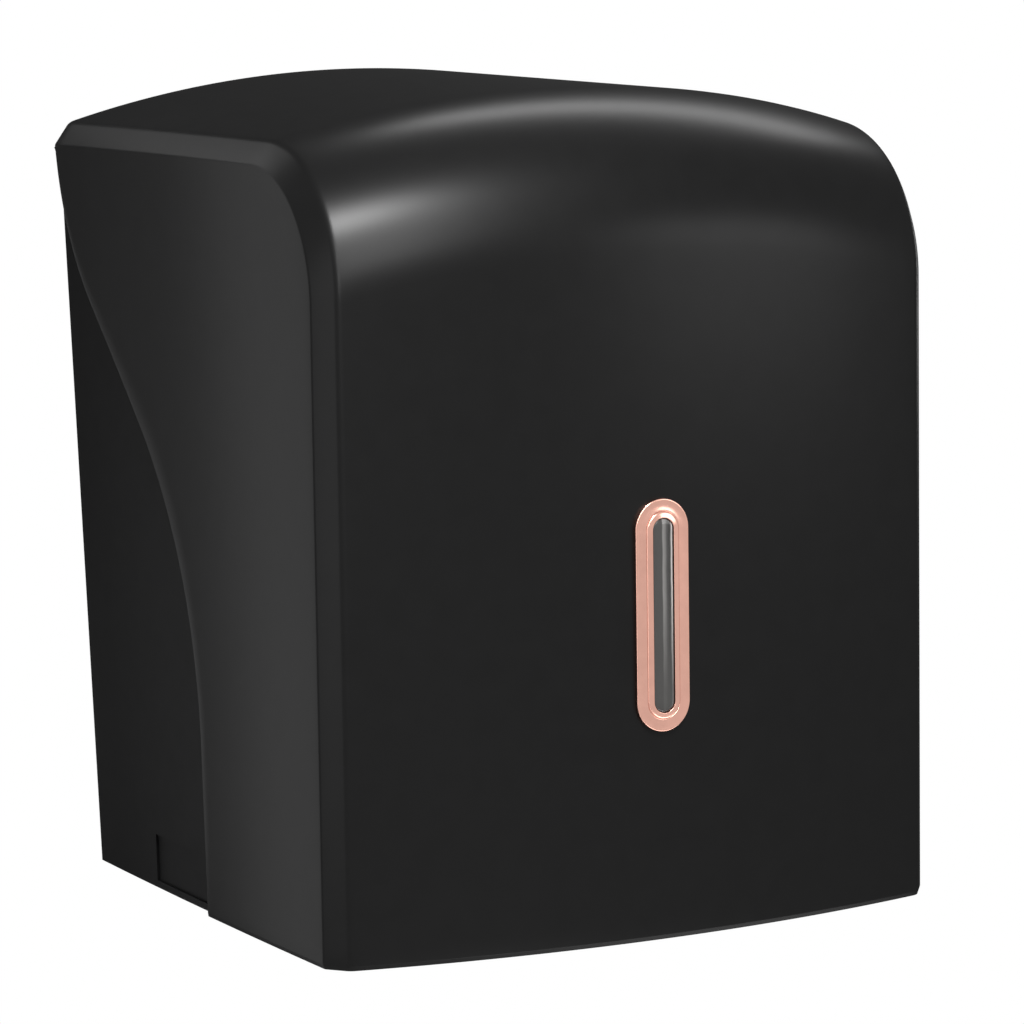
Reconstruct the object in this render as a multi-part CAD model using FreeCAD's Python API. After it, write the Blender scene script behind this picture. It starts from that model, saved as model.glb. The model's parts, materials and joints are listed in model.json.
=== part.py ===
import FreeCAD, Part
import math
import os

V = FreeCAD.Vector
os.makedirs("parts", exist_ok=True)

# Lever paper towel dispenser for wall mounting, in millimetres.
# X runs across, +Z is up, the wall is the plane Y = 0 and the front faces -Y.
# Heights are laid out from the cover's lower rim. On saving, every piece moves down so
# that the origin lies on the wall, in the middle of the four wall screw holes.

through = 400.0           # length of a tool that cuts right through a piece

# ---- casing ---------------------------------------------------------------
side_height = 341.0       # height of the flat side faces at the wall
half_width = 149.5        # half of the width at the front
foot_tuck = 6.0           # how much narrower each side is at the wall, at the foot
side_flare = 12.0         # how much each side widens at the wall, from foot to top
side_depth = 258.0        # from the wall to the front line of the side faces
edge_bevel = 8.0          # bevel between the side faces and the front and top
front_bulge = 16.5        # how far the middle of the front stands out
top_arch = 19.5           # how far the middle of the top stands up
top_slope = 1.43          # fall of the top towards the front, degrees
corner_radius = 59.0      # radius of the top front corner, on the side faces
cover_wall = 3.0          # wall of the cover
rim_bevel = 1.2           # bevel under the cover's lower rim
rim_round = 0.7           # small bevel along the cover's swept rear edge
wall_gap = 1.0            # cover's rear edge to the wall
rim_lip = 6.0             # inward lip at the cover's lower front rim
rim_lip_height = 2.5

# the swept rear edge of the cover: a foot line, an arc, a slope and a second arc
# that runs out along the wall
sweep_depth = 134.2       # distance from the wall at the foot of the arc
sweep_height = 76.0       # height of the foot of the arc
sweep_lean = 1.5          # lean of the foot line, degrees
sweep_radius = 212.0
sweep_slope = 43.0        # the slope, degrees from upright
sweep_head_r = 116.0      # radius of the second arc

# ---- rear housing ---------------------------------------------------------
base_wall = 3.0
lap_gap = 0.5             # between the cover's inside and the housing's sides
lap_width = 12.0          # how far the housing's sides run on inside the cover
base_lift = 0.8           # housing's underside above the cover's rim
rib_top = 322.0           # top of the upright ribs on the back plate
rib_rows = [62.0, 232.0, 320.0]
rib_reach = 70.0
rib_column = 60.0
floor_depth = 116.0
rib_height = 4.0
rib_thick = 2.0
recess_rear = 71.0        # shallow recess low on each side face
recess_clear = 6.0        # between the recess and the hinge's bore
recess_low = 4.0
recess_high = 25.5
recess_depth = 1.2
screw_hole_r = 3.2        # wall screw holes
screw_spread_x = 190.0
screw_spread_z = 165.0
screw_low_z = 135.0
blind_floor = 0.6         # material left behind a blind screw hole

# ---- cover hinge ----------------------------------------------------------
hinge_ahead = 8.2         # pivot ahead of the cover's swept edge
hinge_height = 14.0
hinge_r = 4.0
hinge_lug_r = 15.0
hinge_open = 95.0         # opening angle, degrees
key_r = 7.5
key_thick = 2.8
key_tab = 13.0
key_tab_half = 2.5
key_screw_flange = 1.5
stop_height = 4.0
key_gap = 0.6
stop_gap = 0.2
run_gap = 0.05            # radial running clearance of every pivot

# ---- window ---------------------------------------------------------------
bezel_width = 26.0
bezel_height = 100.0
bezel_mid_z = 140.5
bezel_proud = 2.0
ring_width = 17.4
ring_height = 87.6
ring_proud = 0.9
lens_width = 12.4
lens_height = 81.6
collar_width = 20.0
collar_height = 91.0
lens_seat = 1.3           # how far the lens reaches behind the ring, all round
lens_thick = 2.0
lens_sink = 0.9           # lens face behind the ring's face
clip_border = 4.0
clip_thick = 1.5

# ---- lock -----------------------------------------------------------------
lock_below_top = 41.0     # below the top of the side faces
lock_clear = 12.5         # between the nut and the housing's sides
lock_pad_r = 12.0
lock_pad_proud = 1.6      # flat outer face of the pad outside the side face
lock_pad_thick = 7.6
lock_body_r = 8.0
lock_flange_r = 9.5
lock_flange = 1.4
lock_body_tail = 11.0     # body behind the pad
plug_r = 5.0
nut_r = 12.0
nut_thick = 4.0
cam_length = 18.0
cam_width = 9.0
cam_thick = 2.0
cam_gap = 0.3
cam_screw_r = 3.0
cam_screw_head = 2.0
keeper_ahead = 8.0        # front of the keeper's tab ahead of the lock's middle
keeper_tab = 3.0
keeper_below = 32.0       # lower edge below the lock's middle
keeper_tab_below = 10.0
keeper_rail = 8.0
keeper_rail_wide = 3.0    # also how far the tab reaches past the cam's inner face
keeper_foot_wide = 12.0
keeper_foot_below = 4.0
keeper_foot_thick = 2.0
keeper_screw_r = 1.5
keeper_screw_head = 1.6
keyway_deep = 5.4
keyway_half_wide = 0.9
keyway_half_long = 3.4

# ---- side frames ----------------------------------------------------------
frame_set = 33.5          # inner face of each side frame inside the side faces
frame_thick = 3.0
boss_height = 5.0         # bosses on the back plate, under the frame's feet
boss_r = 6.0
foot_width = 17.0
foot_thick = 3.0
foot_low = 12.0
frame_top = 112.0
frame_low = 8.0
frame_corner = 8.0
frame_heel = 136.0        # where the lower edge steps down towards the front
frame_heel_run = 12.0
frame_hole_depth = 56.0
frame_hole_r = 16.0
frame_ahead = 3.0         # frame's front ahead of the blade carrier's rear
foot_screw_set = 9.0      # foot screws outside the frame's plate
foot_screw_z = [26.0, 98.0]
screw_shank_r = 1.6
screw_head_r = 3.6
screw_head = 2.4
tie_r = 4.0
tie_behind_lever = [54.0, 40.0]
tie_heights = [24.0, 101.0]
tie_screw_r = 2.0
tie_screw_deep = 8.0
tie_screw_head = 1.8

# ---- feed roller ----------------------------------------------------------
feed_set = 47.0           # roller's middle behind the front line of the side faces
feed_z = 64.0
axle_r = 4.0
core_r = 12.0
core_set = 19.0           # core's ends inside the frames
drum_r = 17.0
drum_set = 7.0            # outer sleeves' ends inside the core's ends
drum_gap = 6.0
drum_count = 3
bush_r = 7.5
bush_flange_r = 9.5
bush_flange = 1.2
knob_r = 16.0
knob_flutes = 20
knob_flute_r = 1.3
knob_length = 12.0
knob_past = 18.0          # knob's end outside the frame
clip_r = 7.0
clip_gap = 0.3
e_clip = 1.0

# ---- pressure roller ------------------------------------------------------
press_r = 10.0
nip_gap = 0.3
nip_rise = 4.0            # pressure roller's centre above the feed roller's
press_axle_r = 3.0
carriage_set = 10.0       # arms' inner faces inside the frames
carriage_arm = 4.0
carriage_ahead = 26.0     # pivot ahead of the feed roller and above it
carriage_above = 38.0
carriage_eye_r = 6.5
carriage_pin_r = 3.0
bar_depth = 6.0
bar_height = 14.0
press_axle_end = 1.5
pin_head_r = 5.0
pin_head = 2.0

# ---- lever ----------------------------------------------------------------
lever_behind = 38.0       # shaft behind the feed roller and below it
lever_below = 30.0
lever_r = 5.0
lever_hub_r = 9.0
lever_swing = 32.0        # lever's stroke, degrees
paddle_set = 24.0         # paddle's ends inside the frames
paddle_wall = 3.0
paddle_top_from_shaft = (-33.0, -22.0)
paddle_mid_from_shaft = (-32.2, -36.0)
paddle_foot_from_shaft = (-27.0, -47.0)
paddle_edge_r = 2.2
paddle_arm_set = 12.0     # arms' inner faces inside the paddle's ends
paddle_arm = 6.0
pad_half = 45.0
pad_height = 14.0
pad_thick = 1.6
lever_bush_r = 7.5
lever_bush_flange_r = 9.0
lever_past = 5.0          # shaft's left end outside the frame
hub_past = 1.0            # how far hubs stand past the gears

# ---- gears ----------------------------------------------------------------
gear_module = 1.5
pressure_angle = 20.0
addendum = 1.27
dedendum = 1.6
backlash = 0.22
sector_teeth = 64         # teeth of the full wheel that the sector is part of
pinion_teeth = 14
wheel_teeth = 48
clutch_teeth = 24
sector_gap = 2.0          # between the frame and the sector
sector_wide = 4.0
wheel_gap = 2.0           # between the sector and the wheel
wheel_wide = 5.0
stud_r = 4.0
stud_collar = 2.0
stud_end = 3.5
pinion_low = 0.3          # pinion's inner end inside the sector's
wheel_hub_r = 8.0
wheel_hole_r = 5.5
wheel_hole_at = 23.0
wheel_holes = 6
sector_hole_r = 7.0
sector_hole_at = 29.0
clutch_r = 7.0
clutch_hub_r = 9.0
clutch_side_gap = 0.8
clutch_end = 1.5

# ---- chute and blade ------------------------------------------------------
chute_top_from_feed = (-10.0, -19.0)
chute_foot_from_feed = (-32.0, -58.0)
chute_wall = 2.0
chute_bead_r = 1.6
carrier_ahead = 41.0      # carrier's rear face ahead of the feed roller's middle
carrier_wall = 2.5
carrier_low = 8.0
carrier_top = 42.0
carrier_flange = 5.0
blade_set = 10.0          # blade's ends inside the frames
blade_thick = 0.8
blade_tip = 3.0
blade_root = 6.5
blade_top = 18.0
blade_teeth = 40
blade_screw_set = 26.0    # outer screws inside the blade's ends
blade_screw_r = 1.5
blade_screw_head_r = 3.0
blade_screw_head = 1.5

# ---- roll holder ----------------------------------------------------------
roll_y = -134.0
roll_below_top = 136.5    # roll's middle below the top of the casing
roll_set = 14.5           # roll's ends inside the frames
arm_beside_roll = 14.5    # middle of each arm's plate outside the roll's end
arm_thick = 4.0
arm_wide = 30.0
arm_tip_r = 13.0
arm_pin_y = -15.0
arm_pin_r = 3.0
arm_knuckle_r = 6.5
arm_knuckle = 14.0
ear_half = 17.0
ear_thick = 4.0
ear_gap = 0.3
bracket_plate = 3.0
bracket_half = 12.0
hub_shaft_r = 6.0
hub_flange_r = 24.0
hub_flange = 3.0
hub_big_r = 18.5
hub_small_r = 15.0
hub_length = 16.0
hub_boss_r = 10.0
hub_gap = 0.5

# ---- springs --------------------------------------------------------------
coil_pitch = 1.8          # distance between turns, in wire radii
leg_relief = 0.06         # how much thinner a spring's legs are than its coil's wire
lever_wire_r = 0.8
lever_coil_r = 7.2
lever_coils = 7
lever_coil_gap = 3.5
lever_leg_front = 30.0
lever_leg_rear = 16.0
small_wire_r = 0.5
small_coil_r = 4.4
small_coils = 4
small_coil_gap = 0.3
small_leg_front = 10.0
small_leg_rear = 8.0
arm_wire_r = 0.8
arm_coil_r = 5.0
arm_coils = 4
arm_coil_gap = 0.4
arm_leg = 26.0


# ---- simple solids --------------------------------------------------------
def block(x0, x1, y0, y1, z0, z1):
    return Part.makeBox(x1 - x0, y1 - y0, z1 - z0, V(x0, y0, z0))


def rod_x(r, x0, x1, y, z):
    return Part.makeCylinder(r, x1 - x0, V(x0, y, z), V(1, 0, 0))


def rod_y(r, y0, y1, x, z):
    return Part.makeCylinder(r, y1 - y0, V(x, y0, z), V(0, 1, 0))


def rod_z(r, z0, z1, x, y):
    return Part.makeCylinder(r, z1 - z0, V(x, y, z0), V(0, 0, 1))


def plate_x(points, x0, x1):
    """an outline of (y, z) corners, carried along X"""
    corners = [V(x0, y, z) for y, z in points]
    face = Part.Face(Part.makePolygon(corners + [corners[0]]))
    return face.extrude(V(x1 - x0, 0, 0))


def slot_y(width, height, y0, y1, z):
    """an upright obround, carried along Y"""
    r = width / 2.0
    h = height / 2.0 - r
    top = Part.Arc(V(-r, y0, z + h), V(0, y0, z + h + r), V(r, y0, z + h)).toShape()
    right = Part.makeLine(V(r, y0, z + h), V(r, y0, z - h))
    foot = Part.Arc(V(r, y0, z - h), V(0, y0, z - h - r), V(-r, y0, z - h)).toShape()
    left = Part.makeLine(V(-r, y0, z - h), V(-r, y0, z + h))
    face = Part.Face(Part.Wire([top, right, foot, left]))
    return face.extrude(V(0, y1 - y0, 0))


def mirrored(shape):
    return shape.mirror(V(0, 0, 0), V(1, 0, 0))


def join(shapes):
    first = shapes[0]
    rest = shapes[1:]
    if not rest:
        return first
    return first.fuse(rest).removeSplitter()


def cut(shape, tools):
    return shape.cut(tools)


def save(node, solids):
    shape = solids[0] if len(solids) == 1 else Part.makeCompound(solids)
    shape.translate(V(0, 0, -screw_low_z - screw_spread_z / 2.0))
    shape.exportStep("parts/" + node + ".step")


# ---- casing surfaces ------------------------------------------------------
def half_width_at(depth, height):
    """half width of the casing's side faces at a depth from the wall and a height"""
    back = 1.0 - depth / side_depth
    return half_width + (side_flare * height / side_height - foot_tuck) * back * back


def between_sides(inset):
    """everything between the two side faces, set in from them"""
    top = side_height + edge_bevel + top_arch + 40.0
    low = -60.0
    deepest = side_depth + edge_bevel + front_bulge + 20.0
    wires = []
    for step in range(5):
        depth = deepest * (1.0 - step / 4.0)
        foot = half_width_at(depth, low) - inset
        head = half_width_at(depth, top) - inset
        corners = [V(-foot, -depth, low), V(foot, -depth, low)]
        corners = corners + [V(head, -depth, top), V(-head, -depth, top)]
        wires.append(Part.makePolygon(corners + [corners[0]]))
    return Part.makeLoft(wires, True, False)


def arc_radius(half_chord, rise):
    return (half_chord ** 2 + rise ** 2) / (2.0 * rise)


front_r = arc_radius(half_width - edge_bevel, front_bulge)
top_r = arc_radius(half_width - edge_bevel, top_arch)
front_depth = side_depth + edge_bevel + front_bulge
full_height = side_height + edge_bevel + top_arch


def drum_front(inset):
    """the round of the front in plan"""
    foot = V(0, front_r - front_depth, -through / 2.0)
    return Part.makeCylinder(front_r - inset, 2.0 * through, foot, V(0, 0, 1))


def vault_top(inset):
    """the round of the top, seen from the front"""
    centre = V(0, -through, full_height - top_r)
    vault = Part.makeCylinder(top_r - inset, 1.5 * through, centre, V(0, 1, 0))
    vault.rotate(centre, V(0, 1, 0), 180.0)
    vault.rotate(V(0, 0, full_height), V(1, 0, 0), top_slope)
    return vault


def casing(inset, low):
    """the casing as one block, set in by a wall thickness"""
    wide = half_width + side_flare + 60.0
    body = block(-wide, wide, -front_depth - 10.0, 0.0, low, full_height + 10.0)
    body = body.common(drum_front(inset)).common(vault_top(inset))
    corner = []
    for edge in body.Edges:
        box = edge.BoundBox
        if box.YMax < -side_depth * 0.6 and box.ZMin > side_height * 0.6:
            corner.append(edge)
    body = body.makeFillet(corner_radius + edge_bevel - inset, corner)
    body = body.common(between_sides(inset))
    bevel = edge_bevel - inset * (2.0 - math.sqrt(2.0))
    border = []
    for edge in body.Edges:
        middle = edge.valueAt((edge.FirstParameter + edge.LastParameter) / 2.0)
        on_side = abs(middle.x) > half_width - inset - 3.0
        at_rear = edge.BoundBox.YMin > -1.0
        at_foot = edge.BoundBox.ZMax < low + 1.0
        if on_side and not at_rear and not at_foot:
            border.append(edge)
    return body.makeChamfer(bevel, border)


sweep_start = math.radians(sweep_lean)
sweep_end = math.radians(sweep_slope)
sweep_foot_y = -sweep_depth + sweep_radius * math.cos(sweep_start)
sweep_foot_z = sweep_height - sweep_radius * math.sin(sweep_start)
sweep_slope_y = sweep_foot_y - sweep_radius * math.cos(sweep_end)
sweep_slope_z = sweep_foot_z + sweep_radius * math.sin(sweep_end)
sweep_head_y = -wall_gap - sweep_head_r
sweep_run = (sweep_head_y + sweep_head_r * math.cos(sweep_end) - sweep_slope_y) / math.tan(sweep_end)
sweep_head_z = sweep_slope_z + sweep_run + sweep_head_r * math.sin(sweep_end)


def swept_depth(height):
    """depth of the cover's swept rear edge from the wall, at a height"""
    if height <= sweep_height:
        return sweep_depth + (sweep_height - height) * math.tan(sweep_start)
    if height <= sweep_slope_z:
        return math.sqrt(sweep_radius ** 2 - (height - sweep_foot_z) ** 2) - sweep_foot_y
    if height <= sweep_slope_z + sweep_run:
        return -sweep_slope_y - (height - sweep_slope_z) * math.tan(sweep_end)
    if height <= sweep_head_z:
        return -sweep_head_y - math.sqrt(sweep_head_r ** 2 - (sweep_head_z - height) ** 2)
    return wall_gap


def sweep_region(shift):
    """all that lies behind the swept edge, with the edge moved forward by shift"""
    reach = half_width + side_flare + 70.0

    def foot_arc(turn):
        radius = sweep_radius + shift
        return V(-reach, sweep_foot_y - radius * math.cos(turn), sweep_foot_z + radius * math.sin(turn))

    def head_arc(turn):
        radius = sweep_head_r - shift
        return V(-reach, sweep_head_y + radius * math.cos(turn), sweep_head_z - radius * math.sin(turn))

    start = foot_arc(sweep_start)
    top = full_height + 40.0
    foot = V(-reach, start.y - (start.z + 60.0) * math.tan(sweep_start), -60.0)
    head = V(-reach, head_arc(0.0).y, top)
    edges = [Part.makeLine(foot, start)]
    edges.append(Part.Arc(start, foot_arc((sweep_start + sweep_end) / 2.0), foot_arc(sweep_end)).toShape())
    edges.append(Part.makeLine(foot_arc(sweep_end), head_arc(sweep_end)))
    edges.append(Part.Arc(head_arc(sweep_end), head_arc(sweep_end / 2.0), head_arc(0.0)).toShape())
    edges.append(Part.makeLine(head_arc(0.0), head))
    edges.append(Part.makeLine(head, V(-reach, 60.0, top)))
    edges.append(Part.makeLine(V(-reach, 60.0, top), V(-reach, 60.0, -60.0)))
    edges.append(Part.makeLine(V(-reach, 60.0, -60.0), foot))
    return Part.Face(Part.Wire(edges)).extrude(V(2.0 * reach, 0, 0))


def swept_edges(shell):
    """the outer edges of a shell along its swept rear edge"""
    region = sweep_region(0.0)
    found = []
    for edge in shell.Edges:
        middle = edge.valueAt((edge.FirstParameter + edge.LastParameter) / 2.0)
        outside = abs(middle.x) > half_width_at(-middle.y, middle.z) - cover_wall / 2.0
        on_edge = region.distToShape(Part.Vertex(middle))[0] < 0.01
        if outside and on_edge and edge.Length > 5.0:
            found.append(edge)
    return found


# ---- front cover ----------------------------------------------------------
hinge_depth = swept_depth(hinge_height) + hinge_ahead
hinge_y = -hinge_depth
hinge_z = hinge_height
recess_front = hinge_depth - hinge_r - recess_clear
cover_in = half_width_at(hinge_depth, hinge_height) - cover_wall
base_out = cover_in - lap_gap
base_in = base_out - base_wall
key_out = base_in - key_gap
key_in = key_out - key_thick
lock_height = side_height - lock_below_top
lock_depth = swept_depth(lock_height) + lap_width + nut_r + lock_clear
lock_face = half_width_at(lock_depth, lock_height) + lock_pad_proud
lock_seat = lock_face - lock_pad_thick
lock_body_end = lock_seat - lock_body_tail
cam_out = lock_body_end - cam_gap
cam_in = cam_out - cam_thick
keeper_in = cam_in - keeper_rail_wide
keeper_reach = lock_depth + keeper_ahead
keeper_low = lock_height - keeper_below
keeper_tab_top = lock_height - keeper_tab_below
keeper_foot_top = lock_height - keeper_foot_below
frame_in = half_width - frame_set
frame_out = frame_in + frame_thick
foot_screw_x = frame_out + foot_screw_set
roll_z = full_height - roll_below_top
roll_half = frame_in - roll_set
arm_x = roll_half + arm_beside_roll


def build_cover():
    outer = casing(0.0, 0.0)
    rim = []
    for edge in outer.Edges:
        box = edge.BoundBox
        if box.ZMax < 0.5 and box.YMin < -5.0 and box.YMax < -0.5:
            rim.append(edge)
    for edge in outer.Edges:
        box = edge.BoundBox
        if box.ZMax < 0.5 and box.YMin < -100.0 and box.YMax > -0.5:
            rim.append(edge)
    outer = outer.makeChamfer(rim_bevel, rim)
    inner = casing(cover_wall, -40.0)
    shell = outer.cut(inner)
    wide = half_width + side_flare + 40.0
    shell = shell.cut(sweep_region(0.0))
    shell = shell.makeChamfer(rim_round, swept_edges(shell))
    lip = casing(cover_wall - 0.2, 0.0).cut(casing(cover_wall + rim_lip, -40.0))
    lip = lip.common(block(-wide, wide, -front_depth, -side_depth, 0.0, rim_lip_height))
    lip = lip.common(between_sides(cover_wall - 0.2))
    opening = slot_y(collar_width, collar_height, -front_depth - 5.0, -front_depth + 20.0, bezel_mid_z)
    stub = rod_x(hinge_r, key_in, cover_in + cover_wall / 2.0, hinge_y, hinge_z)
    pad = rod_x(lock_pad_r, lock_seat, lock_face, -lock_depth, lock_height)
    bore = rod_x(lock_body_r, lock_seat - 5.0, lock_face + 5.0, -lock_depth, lock_height)
    shell = join([shell, lip, stub, mirrored(stub), pad])
    return cut(shell, [opening, bore])


# ---- rear housing ---------------------------------------------------------
def build_housing():
    wide = half_width + side_flare + 40.0
    region = sweep_region(lap_width).common(block(-wide, wide, -front_depth, 0.0, base_lift, full_height))
    cover_side = cover_wall + lap_gap
    ring = between_sides(cover_side).cut(between_sides(cover_side + base_wall))
    shape = casing(cover_side, base_lift)
    sides = ring.common(region).common(shape)
    back = shape.common(block(-wide, wide, -base_wall, 0.0, base_lift, full_height))
    floor = shape.common(block(-wide, wide, -floor_depth, 0.0, base_lift, base_lift + base_wall))
    body = [back, sides, floor]
    lug = rod_x(hinge_lug_r, base_in, base_out, hinge_y, hinge_z)
    lug = lug.common(block(0.0, wide, -front_depth, 0.0, base_lift, full_height))
    lug = lug.common(between_sides(cover_side))
    stop_y = hinge_y + key_r + 1.0
    stop_z = hinge_z + key_tab_half + stop_gap
    stop = block(key_in, base_in + 0.5, stop_y, hinge_y + key_tab, stop_z, stop_z + stop_height)
    stop.rotate(V(0, hinge_y, hinge_z), V(1, 0, 0), hinge_open)
    body = body + [lug, mirrored(lug), stop, mirrored(stop)]
    for x in [-foot_screw_x, foot_screw_x]:
        for z in foot_screw_z:
            body.append(rod_y(boss_r, -base_wall - boss_height, -base_wall + 0.5, x, z))
    rib_face = -base_wall - rib_height
    for z in rib_rows:
        body.append(block(-rib_reach, rib_reach, rib_face, -base_wall + 0.5, z, z + rib_thick))
    for x in [-rib_column, rib_column]:
        x0 = x - rib_thick / 2.0
        body.append(block(x0, x0 + rib_thick, rib_face, -base_wall + 0.5, base_lift, rib_top))
    whole = join(body)
    tools = []
    for side in [-1.0, 1.0]:
        near = min(side * half_width / 2.0, side * wide)
        far = max(side * half_width / 2.0, side * wide)
        recess = block(near, far, -recess_front, -recess_rear, recess_low, recess_high)
        tools.append(recess.cut(between_sides(cover_side + recess_depth)))
        hole_low = side * (base_in - 10.0)
        hole_high = side * (base_out + 10.0)
        tools.append(rod_x(hinge_r + run_gap, min(hole_low, hole_high), max(hole_low, hole_high), hinge_y, hinge_z))
        for z in [screw_low_z, screw_low_z + screw_spread_z]:
            tools.append(rod_y(screw_hole_r, -base_wall - 20.0, 10.0, side * screw_spread_x / 2.0, z))
        for z in foot_screw_z:
            tools.append(rod_y(screw_shank_r, -base_wall - boss_height - 5.0, -1.0, side * foot_screw_x, z))
    for z in keeper_screw_z():
        tools.append(rod_y(keeper_screw_r, -base_wall - 5.0, -blind_floor, keeper_screw_x(), z))
    for side in [-1.0, 1.0]:
        for z in bracket_screw_z():
            tools.append(rod_y(screw_shank_r, -base_wall - 5.0, -blind_floor, side * bracket_screw_x(), z))
    return cut(whole, tools)


def keeper_screw_x():
    return keeper_in - keeper_foot_wide / 2.0


def keeper_screw_z():
    quarter = (keeper_foot_top - keeper_low) / 4.0
    return [keeper_low + quarter, keeper_foot_top - quarter]


def bracket_screw_x():
    return arm_x - arm_knuckle_r - 6.0


def bracket_screw_z():
    return [roll_z - ear_half + 5.0, roll_z + ear_half - 5.0]


# ---- window ---------------------------------------------------------------
def front_slab(outer, inner):
    """the layer of the front between two offsets, outwards positive"""
    return drum_front(-outer).cut(drum_front(-inner))


def build_window():
    reach = front_depth + 20.0
    flange = slot_y(bezel_width, bezel_height, -reach, -front_depth + 30.0, bezel_mid_z)
    flange = flange.common(front_slab(bezel_proud, 0.0))
    ring = slot_y(ring_width, ring_height, -reach, -front_depth + 30.0, bezel_mid_z)
    ring = ring.common(front_slab(bezel_proud + ring_proud, 0.0))
    collar = slot_y(collar_width, collar_height, -reach, -front_depth + 30.0, bezel_mid_z)
    collar = collar.common(front_slab(bezel_proud, -cover_wall - clip_thick))
    lens_face = bezel_proud + ring_proud - lens_sink
    seat_face = lens_face - lens_thick / 2.0
    opening = slot_y(lens_width, lens_height, -reach, -front_depth + 30.0, bezel_mid_z)
    pocket_w = lens_width + 2.0 * lens_seat
    pocket_h = lens_height + 2.0 * lens_seat
    pocket = slot_y(pocket_w, pocket_h, -reach, -front_depth + 30.0, bezel_mid_z)
    pocket = pocket.common(front_slab(seat_face, -30.0))
    bezel = cut(join([flange, ring, collar]), [opening, pocket])
    glass = slot_y(lens_width - 0.1, lens_height - 0.1, -reach, -front_depth + 30.0, bezel_mid_z)
    glass = glass.common(front_slab(lens_face, seat_face))
    back = slot_y(pocket_w - 0.1, pocket_h - 0.1, -reach, -front_depth + 30.0, bezel_mid_z)
    back = back.common(front_slab(seat_face, seat_face - lens_thick))
    lens = join([glass, back])
    clip = slot_y(collar_width + 2.0 * clip_border, collar_height + 2.0 * clip_border, -reach,
                  -front_depth + 30.0, bezel_mid_z)
    clip = clip.common(front_slab(-cover_wall, -cover_wall - clip_thick))
    hole = slot_y(collar_width, collar_height, -reach, -front_depth + 30.0, bezel_mid_z)
    return bezel, lens, clip.cut(hole)


# ---- hinge keys -----------------------------------------------------------
def build_keys():
    disc = rod_x(key_r, key_in, key_out, hinge_y, hinge_z)
    tab = block(key_in, key_out, hinge_y, hinge_y + key_tab, hinge_z - key_tab_half, hinge_z + key_tab_half)
    key = join([disc, tab]).cut(rod_x(hinge_r, key_in - 1.0, key_out + 1.0, hinge_y, hinge_z))
    screw = rod_x(hinge_r + key_screw_flange, key_in - 2.0, key_in, hinge_y, hinge_z)
    return [key, mirrored(key)], [screw, mirrored(screw)]


# ---- lock -----------------------------------------------------------------
def build_lock():
    y = -lock_depth
    z = lock_height
    flange = rod_x(lock_flange_r, lock_face, lock_face + lock_flange, y, z)
    barrel = rod_x(lock_body_r, lock_body_end, lock_face, y, z)
    housing = join([flange, barrel])
    housing = housing.cut(rod_x(plug_r + run_gap, lock_body_end - 1.0, lock_face + 5.0, y, z))
    corners = []
    for step in range(6):
        turn = math.radians(60.0 * step)
        corners.append((y + nut_r * math.cos(turn), z + nut_r * math.sin(turn)))
    nut = plate_x(corners, lock_seat - nut_thick, lock_seat)
    nut = nut.cut(rod_x(lock_body_r, lock_seat - nut_thick - 1.0, lock_seat + 1.0, y, z))
    plug = rod_x(plug_r, cam_out, lock_face + lock_flange, y, z)
    keyway = block(lock_face + lock_flange - keyway_deep, lock_face + 5.0, y - keyway_half_wide,
                   y + keyway_half_wide, z - keyway_half_long, z + keyway_half_long)
    plug = plug.cut(keyway)
    hub = rod_x(cam_width / 2.0 + 1.5, cam_in, cam_out, y, z)
    arm = block(cam_in, cam_out, y, y + cam_length - cam_width / 2.0, z - cam_width / 2.0, z + cam_width / 2.0)
    tip = rod_x(cam_width / 2.0, cam_in, cam_out, y + cam_length - cam_width / 2.0, z)
    cam = join([hub, arm, tip])
    screw = rod_x(cam_screw_r, cam_in - cam_screw_head, cam_in, y, z)
    return housing, nut, plug, cam, screw


def build_keeper():
    foot = block(keeper_in - keeper_foot_wide, keeper_in + keeper_rail_wide, -base_wall - keeper_foot_thick,
                 -base_wall, keeper_low, keeper_foot_top)
    rail = block(keeper_in, keeper_in + keeper_rail_wide, -keeper_reach, -base_wall, keeper_low,
                 keeper_low + keeper_rail)
    tab = block(keeper_in, cam_out, -keeper_reach, -keeper_reach + keeper_tab, keeper_low, keeper_tab_top)
    keeper = join([foot, rail, tab])
    holes = []
    screws = []
    for z in keeper_screw_z():
        holes.append(rod_y(keeper_screw_r, -base_wall - 10.0, 0.0, keeper_screw_x(), z))
        head = rod_y(keeper_screw_r * 2.0, -base_wall - keeper_foot_thick - keeper_screw_head,
                     -base_wall - keeper_foot_thick, keeper_screw_x(), z)
        shank = rod_y(keeper_screw_r, -base_wall - keeper_foot_thick, -blind_floor, keeper_screw_x(), z)
        screws.append(join([head, shank]))
    return cut(keeper, holes), screws


# ---- side frames ----------------------------------------------------------
frame_rear = -base_wall - boss_height
feed_y = -side_depth + feed_set
lever_y = feed_y + lever_behind
lever_z = feed_z - lever_below
carriage_y = feed_y - carriage_ahead
carriage_z = feed_z + carriage_above
press_y = feed_y - math.sqrt((drum_r + press_r + nip_gap) ** 2 - nip_rise ** 2)
press_z = feed_z + nip_rise
carrier_rear = -feed_y + carrier_ahead
frame_front = carrier_rear + frame_ahead
core_half = frame_in - core_set
drum_length = (2.0 * (core_half - drum_set) + drum_gap) / drum_count - drum_gap
drum_pitch = drum_length + drum_gap
drum_middles = [drum_pitch * (k - (drum_count - 1) / 2.0) for k in range(drum_count)]
knob_end = frame_out + knob_past
carriage_arm_in = frame_in - carriage_set
paddle_half = frame_in - paddle_set
paddle_arm_in = paddle_half - paddle_arm_set
lever_end = frame_out + lever_past
sector_x = frame_out + sector_gap
wheel_x = sector_x + sector_wide + wheel_gap
blade_half = frame_in - blade_set
blade_screw_x = [blade_screw_set - blade_half, 0.0, blade_half - blade_screw_set]
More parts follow.
